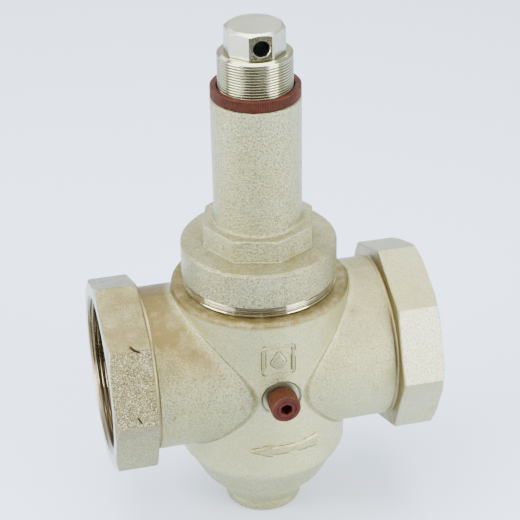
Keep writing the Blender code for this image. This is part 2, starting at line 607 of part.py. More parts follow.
def balance_piston():
    """Lower piston that balances the inlet pressure on the disc and guides the stem."""
    low = BALANCE_PISTON_BOTTOM_LEVEL
    high = BALANCE_PISTON_TOP_LEVEL
    seal_low = low + 0.0025
    seal_high = seal_low + 0.0034
    band_low = seal_high + 0.0020
    band_high = band_low + 0.0050
    seal_floor = BALANCE_PISTON_RADIUS - 0.0031
    band_floor = BALANCE_PISTON_RADIUS - 0.0020
    hub_radius = 0.0090
    recess_radius = 0.0115
    recess_top = low + 0.0075
    hub_top = HOLDER_BOTTOM_LEVEL - GAP
    outer = BALANCE_PISTON_RADIUS
    turned("balance_piston",
           [(STEM_BORE, hub_top), (hub_radius, hub_top), (hub_radius, high), (outer - 0.0006, high),
            (outer, high - 0.0006), (outer, band_high), (band_floor, band_high), (band_floor, band_low),
            (outer, band_low), (outer, seal_high), (seal_floor, seal_high), (seal_floor, seal_low),
            (outer, seal_low), (outer, low + 0.0006), (outer - 0.0006, low), (recess_radius, low),
            (recess_radius, recess_top), (STEM_BORE, recess_top)], BRASS)
    cord = (seal_high - seal_low) / 2 - GAP
    round_ring("balance_seal", seal_floor + GAP + cord, cord, (seal_low + seal_high) / 2)
    turned("balance_guide_band", ring_profile(band_floor + GAP, outer + 0.00005, band_low + GAP,
                                              band_high - GAP, 0.0002), WHITE_PLASTIC)
    hex_nut("lower_stem_nut", 0.0150, recess_top - GAP - 0.0060, recess_top - GAP, STEM_BORE)


# ---------------------------------------------------------------- assembly
valve_body()
for port_name, port_side in (("front", -1), ("rear", 1)):
    gauge_plug(port_name, port_side)
bonnet()
lock_ring()
adjusting_screw()
spring_plates()
pressure_spring()
valve_stem()
piston()
seat()
closing_disc()
balance_piston()
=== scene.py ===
"""Looks of the pressure reducing valve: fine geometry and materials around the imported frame.

Everything is in metres in the frame of the CAD part: the pipe axis runs along X, the working
parts stand on the Z axis, and levels are heights above the pipe axis.
"""
import json
import math

import bmesh
import bpy
import numpy as np
from mathutils import Matrix, Vector


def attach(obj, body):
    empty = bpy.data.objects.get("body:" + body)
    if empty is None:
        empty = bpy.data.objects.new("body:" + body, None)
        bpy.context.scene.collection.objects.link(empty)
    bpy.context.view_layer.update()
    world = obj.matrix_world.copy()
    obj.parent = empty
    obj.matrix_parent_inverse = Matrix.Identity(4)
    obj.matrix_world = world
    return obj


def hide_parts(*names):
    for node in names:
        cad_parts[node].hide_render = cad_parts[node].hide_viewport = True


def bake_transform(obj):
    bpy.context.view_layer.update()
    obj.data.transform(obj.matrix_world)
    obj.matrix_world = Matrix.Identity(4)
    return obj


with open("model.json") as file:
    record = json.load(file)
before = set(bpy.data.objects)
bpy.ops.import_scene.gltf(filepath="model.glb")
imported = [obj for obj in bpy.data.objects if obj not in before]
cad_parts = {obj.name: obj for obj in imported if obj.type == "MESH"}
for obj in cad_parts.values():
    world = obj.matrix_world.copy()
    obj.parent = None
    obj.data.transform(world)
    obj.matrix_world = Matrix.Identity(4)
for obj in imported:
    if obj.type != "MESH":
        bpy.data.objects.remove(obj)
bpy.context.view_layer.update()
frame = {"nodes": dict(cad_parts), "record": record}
AXIS_Z = 0.0995
TAU = 2 * math.pi

# Directions in which a turned piece can stand; the columns are where its own X, Y and Z go.
UP = np.eye(3)
INLET = np.array([[0, 0, 1], [1, 0, 0], [0, 1, 0]], float)
OUTLET = np.array([[0, 0, -1], [-1, 0, 0], [0, 1, 0]], float)
FRONT = np.array([[1, 0, 0], [0, 0, -1], [0, 1, 0]], float)
REAR = np.array([[1, 0, 0], [0, 0, 1], [0, -1, 0]], float)


# ---------------------------------------------------------------- material building
class Nodes:
    """A short way to write shader nodes."""

    def __init__(self, name):
        self.material = bpy.data.materials.new(name)
        self.material.use_nodes = True
        self.tree = self.material.node_tree
        self.shader = self.tree.nodes["Principled BSDF"]
        self.place = self.add("ShaderNodeTexCoord").outputs["Object"]

    def add(self, kind, **settings):
        node = self.tree.nodes.new(kind)
        for key, value in settings.items():
            setattr(node, key, value)
        return node

    def link(self, source, target):
        self.tree.links.new(source, target)
        return target

    def feed(self, socket, value):
        if isinstance(value, bpy.types.NodeSocket):
            self.link(value, socket)
        else:
            socket.default_value = value

    def noise(self, size, detail=3.0, rough=0.55, stretch=None):
        """Noise whose features are about size metres across."""
        node = self.add("ShaderNodeTexNoise")
        node.inputs["Scale"].default_value = 1.0 / size
        node.inputs["Detail"].default_value = detail
        node.inputs["Roughness"].default_value = rough
        source = self.place
        if stretch:
            mapping = self.add("ShaderNodeMapping")
            mapping.inputs["Scale"].default_value = stretch
            self.link(source, mapping.inputs["Vector"])
            source = mapping.outputs["Vector"]
        self.link(source, node.inputs["Vector"])
        return node.outputs["Fac"]

    def math(self, operation, a, b=0.0):
        node = self.add("ShaderNodeMath", operation=operation)
        for socket, value in zip(node.inputs, (a, b)):
            self.feed(socket, value)
        return node.outputs[0]

    def times(self, first, *others):
        for other in others:
            first = self.math("MULTIPLY", first, other)
        return first

    def highest(self, a, b):
        return self.math("MAXIMUM", a, b)

    def span(self, value, low, high, to_low=0.0, to_high=1.0):
        """Map a value from low..high to another range, smoothly and without overshoot."""
        node = self.add("ShaderNodeMapRange", interpolation_type="SMOOTHSTEP")
        self.feed(node.inputs["Value"], value)
        for key, number in zip(("From Min", "From Max", "To Min", "To Max"), (low, high, to_low, to_high)):
            node.inputs[key].default_value = number
        return node.outputs["Result"]

    def clouds(self, size, low, high, to_low=0.0, to_high=1.0, detail=3.0, rough=0.55):
        """Soft patches about size metres across."""
        return self.span(self.noise(size, detail, rough), low, high, to_low, to_high)

    def mix(self, share, first, second):
        node = self.add("ShaderNodeMix", data_type="RGBA")
        self.feed(node.inputs["Factor"], share)
        for socket, value in ((node.inputs[6], first), (node.inputs[7], second)):
            self.feed(socket, (*value, 1.0) if isinstance(value, tuple) else value)
        return node.outputs[2]

    def axes(self):
        node = self.add("ShaderNodeSeparateXYZ")
        self.link(self.place, node.inputs[0])
        return node.outputs

    def attribute(self, name):
        return self.add("ShaderNodeAttribute", attribute_name=name).outputs["Fac"]

    def bumps(self, *heights):
        """Chain of bumps, each given as (height socket, strength, distance)."""
        normal = None
        for height, strength, distance in heights:
            node = self.add("ShaderNodeBump")
            node.inputs["Strength"].default_value = strength
            node.inputs["Distance"].default_value = distance
            self.link(height, node.inputs["Height"])
            if normal:
                self.link(normal, node.inputs["Normal"])
            normal = node.outputs["Normal"]
        self.link(normal, self.shader.inputs["Normal"])

    def finish(self, colour, roughness, metallic, **constants):
        self.feed(self.shader.inputs["Base Color"], colour)
        self.feed(self.shader.inputs["Roughness"], roughness)
        self.shader.inputs["Metallic"].default_value = metallic
        for key, value in constants.items():
            self.shader.inputs[key.replace("_", " ")].default_value = value
        return self.material


# brown for stains, also used as painted shade in creases, recesses and under the bonnet
STAIN_AND_SHADE = (0.165, 0.125, 0.045)
# painted highlight for the thin bright line along the upper creases
PAINTED_CREASE_HIGHLIGHT = (0.66, 0.64, 0.44)
# painted shade for two dents on the outlet end
DENT_SHADE = (0.020, 0.016, 0.008)


def toned(colour, share):
    """A colour made darker or lighter."""
    return tuple(min(1.0, c * share) for c in colour)


def painted_barrel_light_and_crease_lines(n, base, colour):
    """A lighter barrel front as painted light, lighter towards the right, and a painted highlight above and
    painted shade below along the creases.
    """
    x, _, z = n.axes()
    line = n.attribute("crease")
    # painted light: the barrel front gets a lighter colour for the light it catches; the right side is made
    # lighter as well
    barrel = n.times(n.span(line, -0.0004, -0.0013, 0.0, 0.42), n.span(z, AXIS_Z - 0.060, AXIS_Z - 0.050))
    brightened = n.highest(n.span(x, -0.01, 0.05, 0.0, 0.30), barrel)
    base = n.mix(brightened, base, toned(colour, 1.5))
    # a thin line along each crease: painted highlight above the pipe axis, painted shade below it
    fine = n.times(n.span(line, -0.0004, 0.0001), n.span(line, 0.0008, 0.0003))
    upper = n.span(z, AXIS_Z + 0.002, AXIS_Z + 0.020, 0.0, 0.40)
    base = n.mix(n.times(fine, upper), base, PAINTED_CREASE_HIGHLIGHT)
    # painted shade along the crease below the pipe axis
    lower = n.span(z, AXIS_Z - 0.008, AXIS_Z - 0.020, 0.0, 0.45)
    return n.mix(n.times(fine, lower), base, STAIN_AND_SHADE)


def blasted_nickel(name, colour, grain, stain_and_shade_mask=None, roughness=0.46, strength=0.7, speck=0.8,
                   pepper=0.0):
    """Nickel plating over a sandblasted casting: fine sparkling grain, yellow stains, and painted shade in some
    recesses.
    """
    n = Nodes(name)
    mottle = n.noise(0.0040, 4.0, 0.65)
    warm = (colour[0], colour[1] * 0.95, colour[2] * 0.78)
    base = n.mix(n.clouds(0.034, 0.40, 0.68), colour, warm)
    base = n.mix(n.span(mottle, 0.48, 0.74, 0.0, 0.45), base, toned(colour, 0.82))
    base = n.mix(n.clouds(grain * 1.7, 0.45, 0.66, 0.0, speck, 3.0, 0.65), base, toned(colour, 0.45))
    if stain_and_shade_mask is body_stains_and_shade:
        base = painted_barrel_light_and_crease_lines(n, base, colour)
    if stain_and_shade_mask:
        # stains, with painted shade where the mask gives it
        patchy_stain_and_shade = n.times(stain_and_shade_mask(n), n.clouds(0.006, 0.28, 0.60, 0.62, 1.0, 4.0, 0.7))
        base = n.mix(patchy_stain_and_shade, base, STAIN_AND_SHADE)
    if pepper:
        flecks = n.noise(grain * 1.3, 2.0, 0.8)
        base = n.mix(n.span(flecks, 0.50, 0.60, 0.0, pepper), base, toned(colour, 0.10))
        base = n.mix(n.span(flecks, 0.44, 0.36, 0.0, pepper), base, toned(colour, 2.0))
    if stain_and_shade_mask is end_stains_and_shade:
        # painted shade standing in for two dents on the outlet end
        for place in NICKS:
            base = n.mix(painted_dent_shade(n, *place), base, DENT_SHADE)
    rough = n.math("ADD", roughness, n.span(mottle, 0.3, 0.7, -0.04, 0.06))
    n.bumps((n.noise(grain * 2.2, 2.0, 0.6), strength * 0.6, 0.00050),
            (n.noise(grain, 2.0, 0.7), strength, 0.00036))
    return n.finish(base, rough, 1.0)


def turned_metal(name, colour, roughness, around="Z", ring=0.00035, strength=0.15, dirt=0.0, wobble=0.03):
    """Metal with fine turning marks round the Z or the X axis."""
    n = Nodes(name)
    stretch = (1.0, 1.0, 60.0) if around == "Z" else (60.0, 1.0, 1.0)
    marks = n.noise(ring * 60, 2.0, 0.7, stretch=stretch)
    smear = n.noise(0.012, 3.0, 0.6)
    base = n.mix(n.span(smear, 0.40, 0.68), colour, toned(colour, 0.86))
    if dirt:
        base = n.mix(n.clouds(0.004, 0.50, 0.72, 0.0, dirt, 4.0, 0.7), base, STAIN_AND_SHADE)
    rough = n.math("ADD", roughness, n.span(smear, 0.35, 0.7, -0.04, 0.08))
    n.bumps((marks, strength, 0.00005), (n.noise(0.0012, 2.0), wobble, 0.00005))
    return n.finish(base, rough, 1.0)


def plastic(name, colour, roughness, specks=0.35):
    """Moulded plastic or rubber with a little dust."""
    n = Nodes(name)
    mottle = n.noise(0.0035, 4.0, 0.6)
    base = n.mix(n.span(mottle, 0.38, 0.68), colour, toned(colour, 0.72))
    pale = tuple(min(1.0, c * 1.7 + 0.015) for c in colour)
    base = n.mix(n.clouds(0.0008, 0.62, 0.80, 0.0, specks, 2.0, 0.7), base, pale)
    rough = n.span(mottle, 0.3, 0.7, roughness - 0.07, roughness + 0.07)
    n.bumps((n.noise(0.0006, 2.0), 0.25, 0.00006))
    return n.finish(base, rough, 0.0, Specular_IOR_Level=0.14)


def body_stains_and_shade(n):
    """Yellowing with painted shade under the bonnet, painted shade beside the creases, and faint stain patches
    elsewhere.
    """
    x, _, z = n.axes()
    beside = n.attribute("crease")
    # yellowing just under the bonnet's flange, with painted shade where the flange overhangs
    rim = n.times(n.span(z, AXIS_Z + 0.0446, AXIS_Z + 0.0474), n.clouds(0.013, 0.25, 0.45, 0.75, 1.0))
    # painted shade in a narrow band on the barrel beside each crease
    shade = n.times(n.span(beside, -0.0014, -0.0006), n.span(beside, 0.0004, -0.0003),
                    n.clouds(0.016, 0.30, 0.60, 0.35, 0.75))
    patches = n.times(n.clouds(0.022, 0.54, 0.76, detail=4.0, rough=0.6), 0.22)
    top = n.times(n.span(z, AXIS_Z + 0.004, AXIS_Z + 0.036), n.span(x, 0.04, -0.04, 0.42, 1.25),
                  n.clouds(0.02, 0.30, 0.60, 0.6, 1.0), n.span(beside, 0.0005, 0.0060))
    return n.highest(n.highest(rim, shade), n.math("ADD", patches, top))


def end_stains_and_shade(n):
    """Brown stain with painted shade in the relief behind each octagonal end, and a little stain round its
    thread.
    """
    x, _, z = n.axes()
    # painted shade with brown stain in the relief groove
    groove = n.times(n.span(n.math("ABSOLUTE", x), 0.0686, 0.0676), 0.55)
    upper = n.times(n.span(z, AXIS_Z - 0.035, AXIS_Z + 0.030, 0.35, 1.0), n.span(x, 0.02, -0.02, 0.16, 0.85),
                    n.clouds(0.014, 0.30, 0.60, 0.6, 1.0))
    patches = n.times(n.clouds(0.018, 0.54, 0.72, detail=4.0, rough=0.6), 0.30)
    return n.highest(groove, n.highest(patches, upper))


def collar_stains(n):
    """A brown foot round the bonnet's collar and faint patches above it."""
    z = n.axes()[2]
    foot = n.times(n.span(z, AXIS_Z + 0.0775, AXIS_Z + 0.0752),
                   n.span(z, AXIS_Z + 0.0730, AXIS_Z + 0.0740), 0.50)
    return n.times(n.math("ADD", foot, 0.12), n.clouds(0.012, 0.35, 0.65, 0.35, 0.85, 4.0, 0.6))


# two knocks on the outlet end, shown only as painted dent shade: X, level, turn, half length, half width
NICKS = ((-0.0766, AXIS_Z + 0.0386, -0.45, 0.0040, 0.00075),
         (-0.0785, AXIS_Z + 0.0040, -0.95, 0.0026, 0.00070))


def painted_dent_shade(n, middle, level, turn, length, width):
    """Painted shade of a short dent knocked into the front of an octagonal end."""
    x, y, z = n.axes()
    right, up = n.math("ADD", x, -middle), n.math("ADD", z, -level)
    cosine, sine = math.cos(turn), math.sin(turn)
    along = n.math("ADD", n.times(right, cosine), n.times(up, sine))
    across = n.math("ADD", n.times(right, -sine), n.times(up, cosine))
    return n.times(n.span(n.math("ABSOLUTE", along), length, length * 0.5),
                   n.span(n.math("ABSOLUTE", across), width, width * 0.4), n.span(y, -0.010, -0.020))


NICKEL = (0.415, 0.407, 0.213)
CAST = blasted_nickel("cast_nickel", NICKEL, 0.00056, body_stains_and_shade, 0.40, 1.15, 1.05)
CAST_END = blasted_nickel("cast_nickel_end", NICKEL, 0.00046, end_stains_and_shade, 0.30, 1.2, 1.3)
CAST_END_GRAINY = blasted_nickel("cast_nickel_end_grainy", (0.36, 0.355, 0.21), 0.00052, end_stains_and_shade,
                                 0.30, 1.4, 1.0, 0.8)
CAST_END_CLEAN = blasted_nickel("cast_nickel_end_clean", (0.455, 0.445, 0.265), 0.00050, end_stains_and_shade,
                                0.36, 0.9, 0.6)
# painted highlight: a lighter copy of the end finish for the inlet end's upper front flat
CAST_END_HIGHLIGHT = blasted_nickel("cast_nickel_end_painted_highlight", (0.72, 0.72, 0.50), 0.00056, None,
                                 0.34, 1.1, 0.8)
CAST_MARK = blasted_nickel("cast_nickel_mark", NICKEL, 0.00054, None, 0.40, 0.7)
# dirt with painted shade round the foot of the raised marks
MARK_FOOT_SHADE = blasted_nickel("cast_nickel_foot_dirt_and_shade", (0.16, 0.14, 0.06), 0.00050, None, 0.50, 0.6)
# darker metal for the relief groove: stain with painted shade
GROOVE_SHADED_METAL = turned_metal("groove_stained_and_shaded", (0.290, 0.245, 0.120), 0.46, "X", strength=0.2, dirt=0.5)
BONNET_BLASTED = blasted_nickel("bonnet_blasted", (0.450, 0.455, 0.275), 0.00056, collar_stains,
                                0.34, 1.35, 1.15)
BONNET_TURNED = turned_metal("bonnet_turned", (0.50, 0.47, 0.33), 0.10, "Z", strength=0.04, wobble=0.0)
END_TURNED = turned_metal("end_turned", (0.50, 0.49, 0.35), 0.28, "X", strength=0.25, dirt=0.5)
THREAD_METAL = turned_metal("pipe_thread", (0.24, 0.20, 0.13), 0.30, "X", strength=0.2, dirt=0.7)
PORT_METAL = turned_metal("port_face", (0.33, 0.305, 0.18), 0.44, "Z", strength=0.10)
SCREW_METAL = turned_metal("turned_nickel", (0.43, 0.415, 0.26), 0.13, "Z", strength=0.03, wobble=0.0)
HEAD_METAL = turned_metal("head_nickel", (0.47, 0.48, 0.37), 0.30, "Z", strength=0.08)
HEAD_ROUGH = blasted_nickel("head_rough", (0.095, 0.09, 0.065), 0.00060, None, 0.30, 1.6, 1.3)
# painted shade in the roots of the screw thread
ROOT_SHADE = turned_metal("thread_root", (0.10, 0.088, 0.045), 0.40, "Z", strength=0.03)
# painted shade: near black inside the cross hole
HOLE_SHADE = plastic("hole_painted_shade", (0.012, 0.010, 0.008), 0.60, 0.3)
BRASS = turned_metal("brass", (0.72, 0.52, 0.22), 0.26, "Z", strength=0.2)
STAINLESS = turned_metal("stainless", (0.60, 0.60, 0.61), 0.24, "Z", strength=0.2)
SPRING_STEEL = turned_metal("spring_steel", (0.22, 0.23, 0.25), 0.36, "Z", 0.002, 0.1)
BROWN = plastic("brown_plastic", (0.046, 0.0080, 0.0032), 0.50, 0.30)
# paler brown for the grooves of the knurling
BROWN_PALE_GROOVE = plastic("brown_pale_groove", (0.064, 0.024, 0.011), 0.60, 0.5)
WHITE = plastic("white_plastic", (0.78, 0.77, 0.73), 0.40, 0.1)
RUBBER = plastic("rubber", (0.010, 0.009, 0.008), 0.70, 0.10)


# ---------------------------------------------------------------- mesh building
def quad_mesh(name, points, quads):
    """A mesh from arrays of points and four-cornered faces."""
    mesh = bpy.data.meshes.new(name)
    mesh.vertices.add(len(points))
    mesh.vertices.foreach_set("co", np.ascontiguousarray(points, np.float32).ravel())
    mesh.loops.add(quads.size)
    mesh.loops.foreach_set("vertex_index", np.ascontiguousarray(quads, np.int32).ravel())
    mesh.polygons.add(len(quads))
    mesh.polygons.foreach_set("loop_start", np.arange(0, quads.size, 4, dtype=np.int32))
    mesh.update(calc_edges=True)
    mesh.validate()
    return mesh


def grid_quads(rows, columns, loop_rows, loop_columns=True):
    """Faces of a net of rows by columns of points; a loop joins its last row or column to the first."""
    i, j = np.meshgrid(np.arange(rows if loop_rows else rows - 1),
                       np.arange(columns if loop_columns else columns - 1), indexing="ij")
    here, there = i * columns, (i + 1) % rows * columns
    after = (j + 1) % columns
    return np.stack([here + j, there + j, there + after, here + after], -1).reshape(-1, 4)


def closed_mesh(name, points, quads):
    """A mesh whose open ends are filled, with its faces turned outwards."""
    mesh = quad_mesh(name, points.reshape(-1, 3), quads)
    shape = bmesh.new()
    shape.from_mesh(mesh)
    bmesh.ops.holes_fill(shape, edges=[e for e in shape.edges if e.is_boundary])
    bmesh.ops.recalc_face_normals(shape, faces=shape.faces[:])
    shape.to_mesh(mesh)
    shape.free()
    return mesh


def placed(name, data):
    """A new object in the scene."""
    made = bpy.data.objects.new(name, data)
    bpy.context.scene.collection.objects.link(made)
    return made


def carved(name, mesh, cutters):
    """What is left of a mesh when the cutters are taken away, without materials."""
    made = placed(name, mesh)
    tools = bpy.data.collections.new("cutters")
    bpy.context.scene.collection.children.link(tools)
    for tool in cutters:
        tools.objects.link(tool)
    change = made.modifiers.new("bores", "BOOLEAN")
    change.operation = "DIFFERENCE"
    change.operand_type = "COLLECTION"
    change.collection = tools
    change.solver = "EXACT"
    bpy.context.view_layer.update()
    final = bpy.data.meshes.new_from_object(made.evaluated_get(bpy.context.evaluated_depsgraph_get()))
    for used in (made, *cutters):
        bpy.data.objects.remove(used, do_unlink=True)
    bpy.data.collections.remove(tools)
    final.name = name
    final.materials.clear()
    return final


def add_piece(name, mesh, looks, body, replaces=(), sharp=32, weighted=True):
    """Link a mesh as a piece that rides on a body; looks is one material or several."""
    made = placed(name, mesh)
    for look in looks if isinstance(looks, list) else [looks]:
        mesh.materials.append(look)
    mesh.shade_smooth()
    mesh.set_sharp_from_angle(angle=math.radians(sharp))
    if weighted:
        made.modifiers.new("normals", "WEIGHTED_NORMAL").keep_sharp = True
    if body:
        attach(made, body)
    if replaces:
        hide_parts(*replaces)
    return made


def unit(vectors):
    return vectors / np.maximum(np.linalg.norm(vectors, axis=-1, keepdims=True), 1e-12)


def fillet(sections, radii, steps=3, closed=True):
    """Round corners of section polylines; sections is (count, corners, 2)."""
    sections = np.asarray(sections, float)
    if sections.ndim == 2:
        sections = sections[None]
    count = sections.shape[1]
    out = []
    for i in range(count):
        corner = sections[:, i]
        radius = radii[i] if np.ndim(radii) else radii
        if radius == 0 or (not closed and i in (0, count - 1)):
            out.append(corner)
            continue
        back = sections[:, i - 1] - corner
        ahead = sections[:, (i + 1) % count] - corner
        to_back, to_ahead = unit(back), unit(ahead)
        half = np.arccos(np.clip((to_back * to_ahead).sum(1), -1, 1)) / 2
        room = 0.46 * np.minimum(np.linalg.norm(back, axis=1), np.linalg.norm(ahead, axis=1))
        cut = np.minimum(radius / np.tan(np.maximum(half, 1e-3)), room)[:, None]
        first, last = corner + to_back * cut, corner + to_ahead * cut
        middle = corner + unit(to_back + to_ahead) * (cut / np.cos(half)[:, None])
        turn = np.maximum(math.pi - 2 * half, 1e-4)[:, None]
        for step in range(steps + 1):
            share = step / steps
            arm = (np.sin((1 - share) * turn) * (first - middle) + np.sin(share * turn) * (last - middle))
            out.append(middle + arm / np.sin(turn))
    return np.stack(out, 1)


def sections_of(rows, count):
    """Sections for a sweep from (radius, level) rows; each is one number or one for every angle."""
    return np.stack([np.stack(np.broadcast_arrays(*row, np.zeros(count))[:2], -1) for row in rows], 1)


def sweep_mesh(name, sections, angles, stand=UP, closed=True):
    """Sweep sections of (radius, height) round an axis; each runs down its outer side."""
    count = sections.shape[1]
    turns = len(angles)
    if len(sections) == 1:
        sections = np.repeat(sections, turns, 0)
    radius, height = sections[..., 0], sections[..., 1]
    local = np.stack([radius * np.cos(angles)[:, None], radius * np.sin(angles)[:, None], height], -1)
    points = local.reshape(-1, 3) @ stand.T + np.array([0.0, 0.0, AXIS_Z])
    mesh = quad_mesh(name, points, grid_quads(turns, count, True, closed)[:, [0, 3, 2, 1]])
    if not closed:
        shape = bmesh.new()
        shape.from_mesh(mesh)
        bmesh.ops.remove_doubles(shape, verts=shape.verts, dist=1e-6)
        shape.to_mesh(mesh)
        shape.free()
    return mesh


def circle_angles(steps, turn=0.0):
    return turn + np.arange(steps) * TAU / steps


def paint_faces(mesh, rule):
    """Give each face the material number that rule(centres, normals) says."""
    count = len(mesh.polygons)
    centres, normals = np.zeros(count * 3), np.zeros(count * 3)
    mesh.polygons.foreach_get("center", centres)
    mesh.polygons.foreach_get("normal", normals)
    chosen = rule(centres.reshape(-1, 3), normals.reshape(-1, 3)).astype(np.int32)
    mesh.polygons.foreach_set("material_index", chosen)


def lathe(name, profile, look, replaced, rounding, steps, stand):
    """A round ring on the housing, turned from a closed profile of (radius, height)."""
    mesh = sweep_mesh(name, fillet(profile, rounding, 2), circle_angles(steps), stand)
    add_piece(name, mesh, look, "housing", [replaced])


def polygon_shape(sides, flat, rounding, turn, flat_steps, corner_steps):
    """Angles and radii of a regular polygon with rounded corners; turn points at a flat."""
    half = (flat - rounding) * math.tan(math.pi / sides)
    limit = math.atan2(half, flat)
    flats = np.linspace(-limit, limit, flat_steps + 1)
    corner = np.linspace(limit, TAU / sides - limit, corner_steps + 1)[1:-1]
    one = np.concatenate([flats, corner])
    angles = np.concatenate([one + turn + side * TAU / sides for side in range(sides)])
    return angles, polygon_radius(angles, sides, flat, rounding, turn)


def polygon_radius(angles, sides, flat, rounding, turn=0.0):
    half = (flat - rounding) * math.tan(math.pi / sides)
    away = np.abs((angles - turn + math.pi / sides) % (TAU / sides) - math.pi / sides)
    reach = (flat - rounding) * np.cos(away) + half * np.sin(away)
    root = reach ** 2 - (flat - rounding) ** 2 - half ** 2 + rounding ** 2
    on_flat = np.tan(away) <= half / flat + 1e-9
    return np.where(on_flat, flat / np.cos(away), reach + np.sqrt(np.maximum(root, 0)))


def thread_wave(phase):
    """Height of a rounded thread, 0 at the root and 1 at the crest, for a phase in turns."""
    ramp = np.abs((phase % 1.0) * 2.0 - 1.0)
    return np.clip((ramp - 0.5) * 1.35 + 0.5, 0.0, 1.0)


def worn_wave(phase):
    """Height of a thread with broad rounded crests and narrow roots, for a phase in turns."""
    away = np.abs(phase % 1.0 - 0.5)
    return 1.0 - np.exp(-(away / 0.17) ** 2)


# ---------------------------------------------------------------- casting
FACE = 0.0917
END_LENGTH = 0.0240
NECK = 0.0456
NECK_END = 0.0654
BARREL = 0.0490
UPPER_CHAMBER = 0.0380
GRID = 0.00105


def arc(centre, radius, start, end, steps=6):
    angles = [math.radians(start + (end - start) * i / steps) for i in range(steps + 1)]
    return [(centre[0] + radius * math.cos(a), centre[1] + radius * math.sin(a)) for a in angles]


def smooth_curve(points, steps=4):
    """Points of a smooth curve through the given ones."""
    points = np.array([points[0], *points, points[-1]], float)
    out = []
    for a, b, c, d in zip(points, points[1:], points[2:], points[3:]):
        for step in range(steps):
            t = step / steps
            out.append(0.5 * (2 * b + (c - a) * t + (2 * a - 5 * b + 4 * c - d) * t * t
                              + (3 * b - a - 3 * c + d) * t ** 3))
    return [tuple(p) for p in out] + [tuple(points[-1])]


def barrel_outline():
    """Half outline of the barrel, the bowl and the boss: radius and level."""
    bowl = [(0.0474, -0.0545), (0.0450, -0.0578), (0.0400, -0.0672), (0.0362, -0.0745), (0.0310, -0.0805),
            (0.0262, -0.0868), (0.0240, -0.0903)]
    outline = [(0.0, 0.049), *arc((0.0465, 0.0465), 0.0025, 90, 0), *smooth_curve(bowl)]
    return outline + [(0.0222, -0.0908), *arc((0.0192, -0.0965), 0.0030, 0, -90), (0.0, -0.0995)]


class Revolved:
    """Signed distance to a revolved outline, read from a fine table."""

    STEP = 0.0004

    def __init__(self, outline):
        self.low = np.array([-0.002, -0.112])
        shape = np.array([190, 430])
        cells = np.stack(np.meshgrid(*[np.arange(n) for n in shape], indexing="ij"), -1)
        grid = self.low + cells * self.STEP
        distance = np.full(grid.shape[:2], 1.0)
        crossings = np.zeros(grid.shape[:2], int)
        closed = outline + [outline[0]]
        for (r0, z0), (r1, z1) in zip(closed, closed[1:]):
            start, along = np.array([r0, z0]), np.array([r1 - r0, z1 - z0])
            to = grid - start
            share = np.clip((to @ along) / max(along @ along, 1e-18), 0, 1)
            if r0 > 0 or r1 > 0:
                distance = np.minimum(distance, np.linalg.norm(to - share[..., None] * along, axis=-1))
            if z0 != z1:
                at = r0 + (grid[..., 1] - z0) * (r1 - r0) / (z1 - z0)
                spans = (grid[..., 1] > min(z0, z1)) & (grid[..., 1] <= max(z0, z1))
                crossings += spans & (np.abs(grid[..., 0]) < at)
        self.table = np.where(crossings % 2 == 1, -distance, distance)

    def __call__(self, radius, level):
        u = np.clip((radius - self.low[0]) / self.STEP, 0, self.table.shape[0] - 1.001)
        v = np.clip((level - self.low[1]) / self.STEP, 0, self.table.shape[1] - 1.001)
        i, j = u.astype(int), v.astype(int)
        a, b = u - i, v - j
        t = self.table
        return ((t[i, j] * (1 - a) + t[i + 1, j] * a) * (1 - b)
                + (t[i, j + 1] * (1 - a) + t[i + 1, j + 1] * a) * b)


BARREL_FIELD = Revolved(barrel_outline())
CREASE_BLEND = 0.0024


def casting_parts(p):
    """Distances to the barrel and to the pipe through it."""
    x, y, z = p[..., 0], p[..., 1], p[..., 2] - AXIS_Z
    barrel = BARREL_FIELD(np.sqrt(x * x + y * y), z)
    pipe = np.maximum(np.sqrt(y * y + z * z) - NECK, np.abs(x) - 0.0670)
    return barrel, pipe


def casting_field(p):
    barrel, pipe = casting_parts(p)
    share = np.clip(0.5 + 0.5 * (pipe - barrel) / CREASE_BLEND, 0, 1)
    joined = pipe + (barrel - pipe) * share - CREASE_BLEND * share * (1 - share)
    x, y, z = p[..., 0], p[..., 1], p[..., 2] - AXIS_Z
    outside = np.clip((np.abs(x) - 0.046) / 0.004, 0, 1)
    flash = 0.00035 * np.exp(-(y / 0.0009) ** 2) * outside * (z > 0)
    waves = np.sin(x * 420 + 2 * np.sin(z * 190)) * np.sin(y * 510 + 1.0) * np.sin(z * 460 + x * 120)
    return joined - flash - 0.00007 * waves


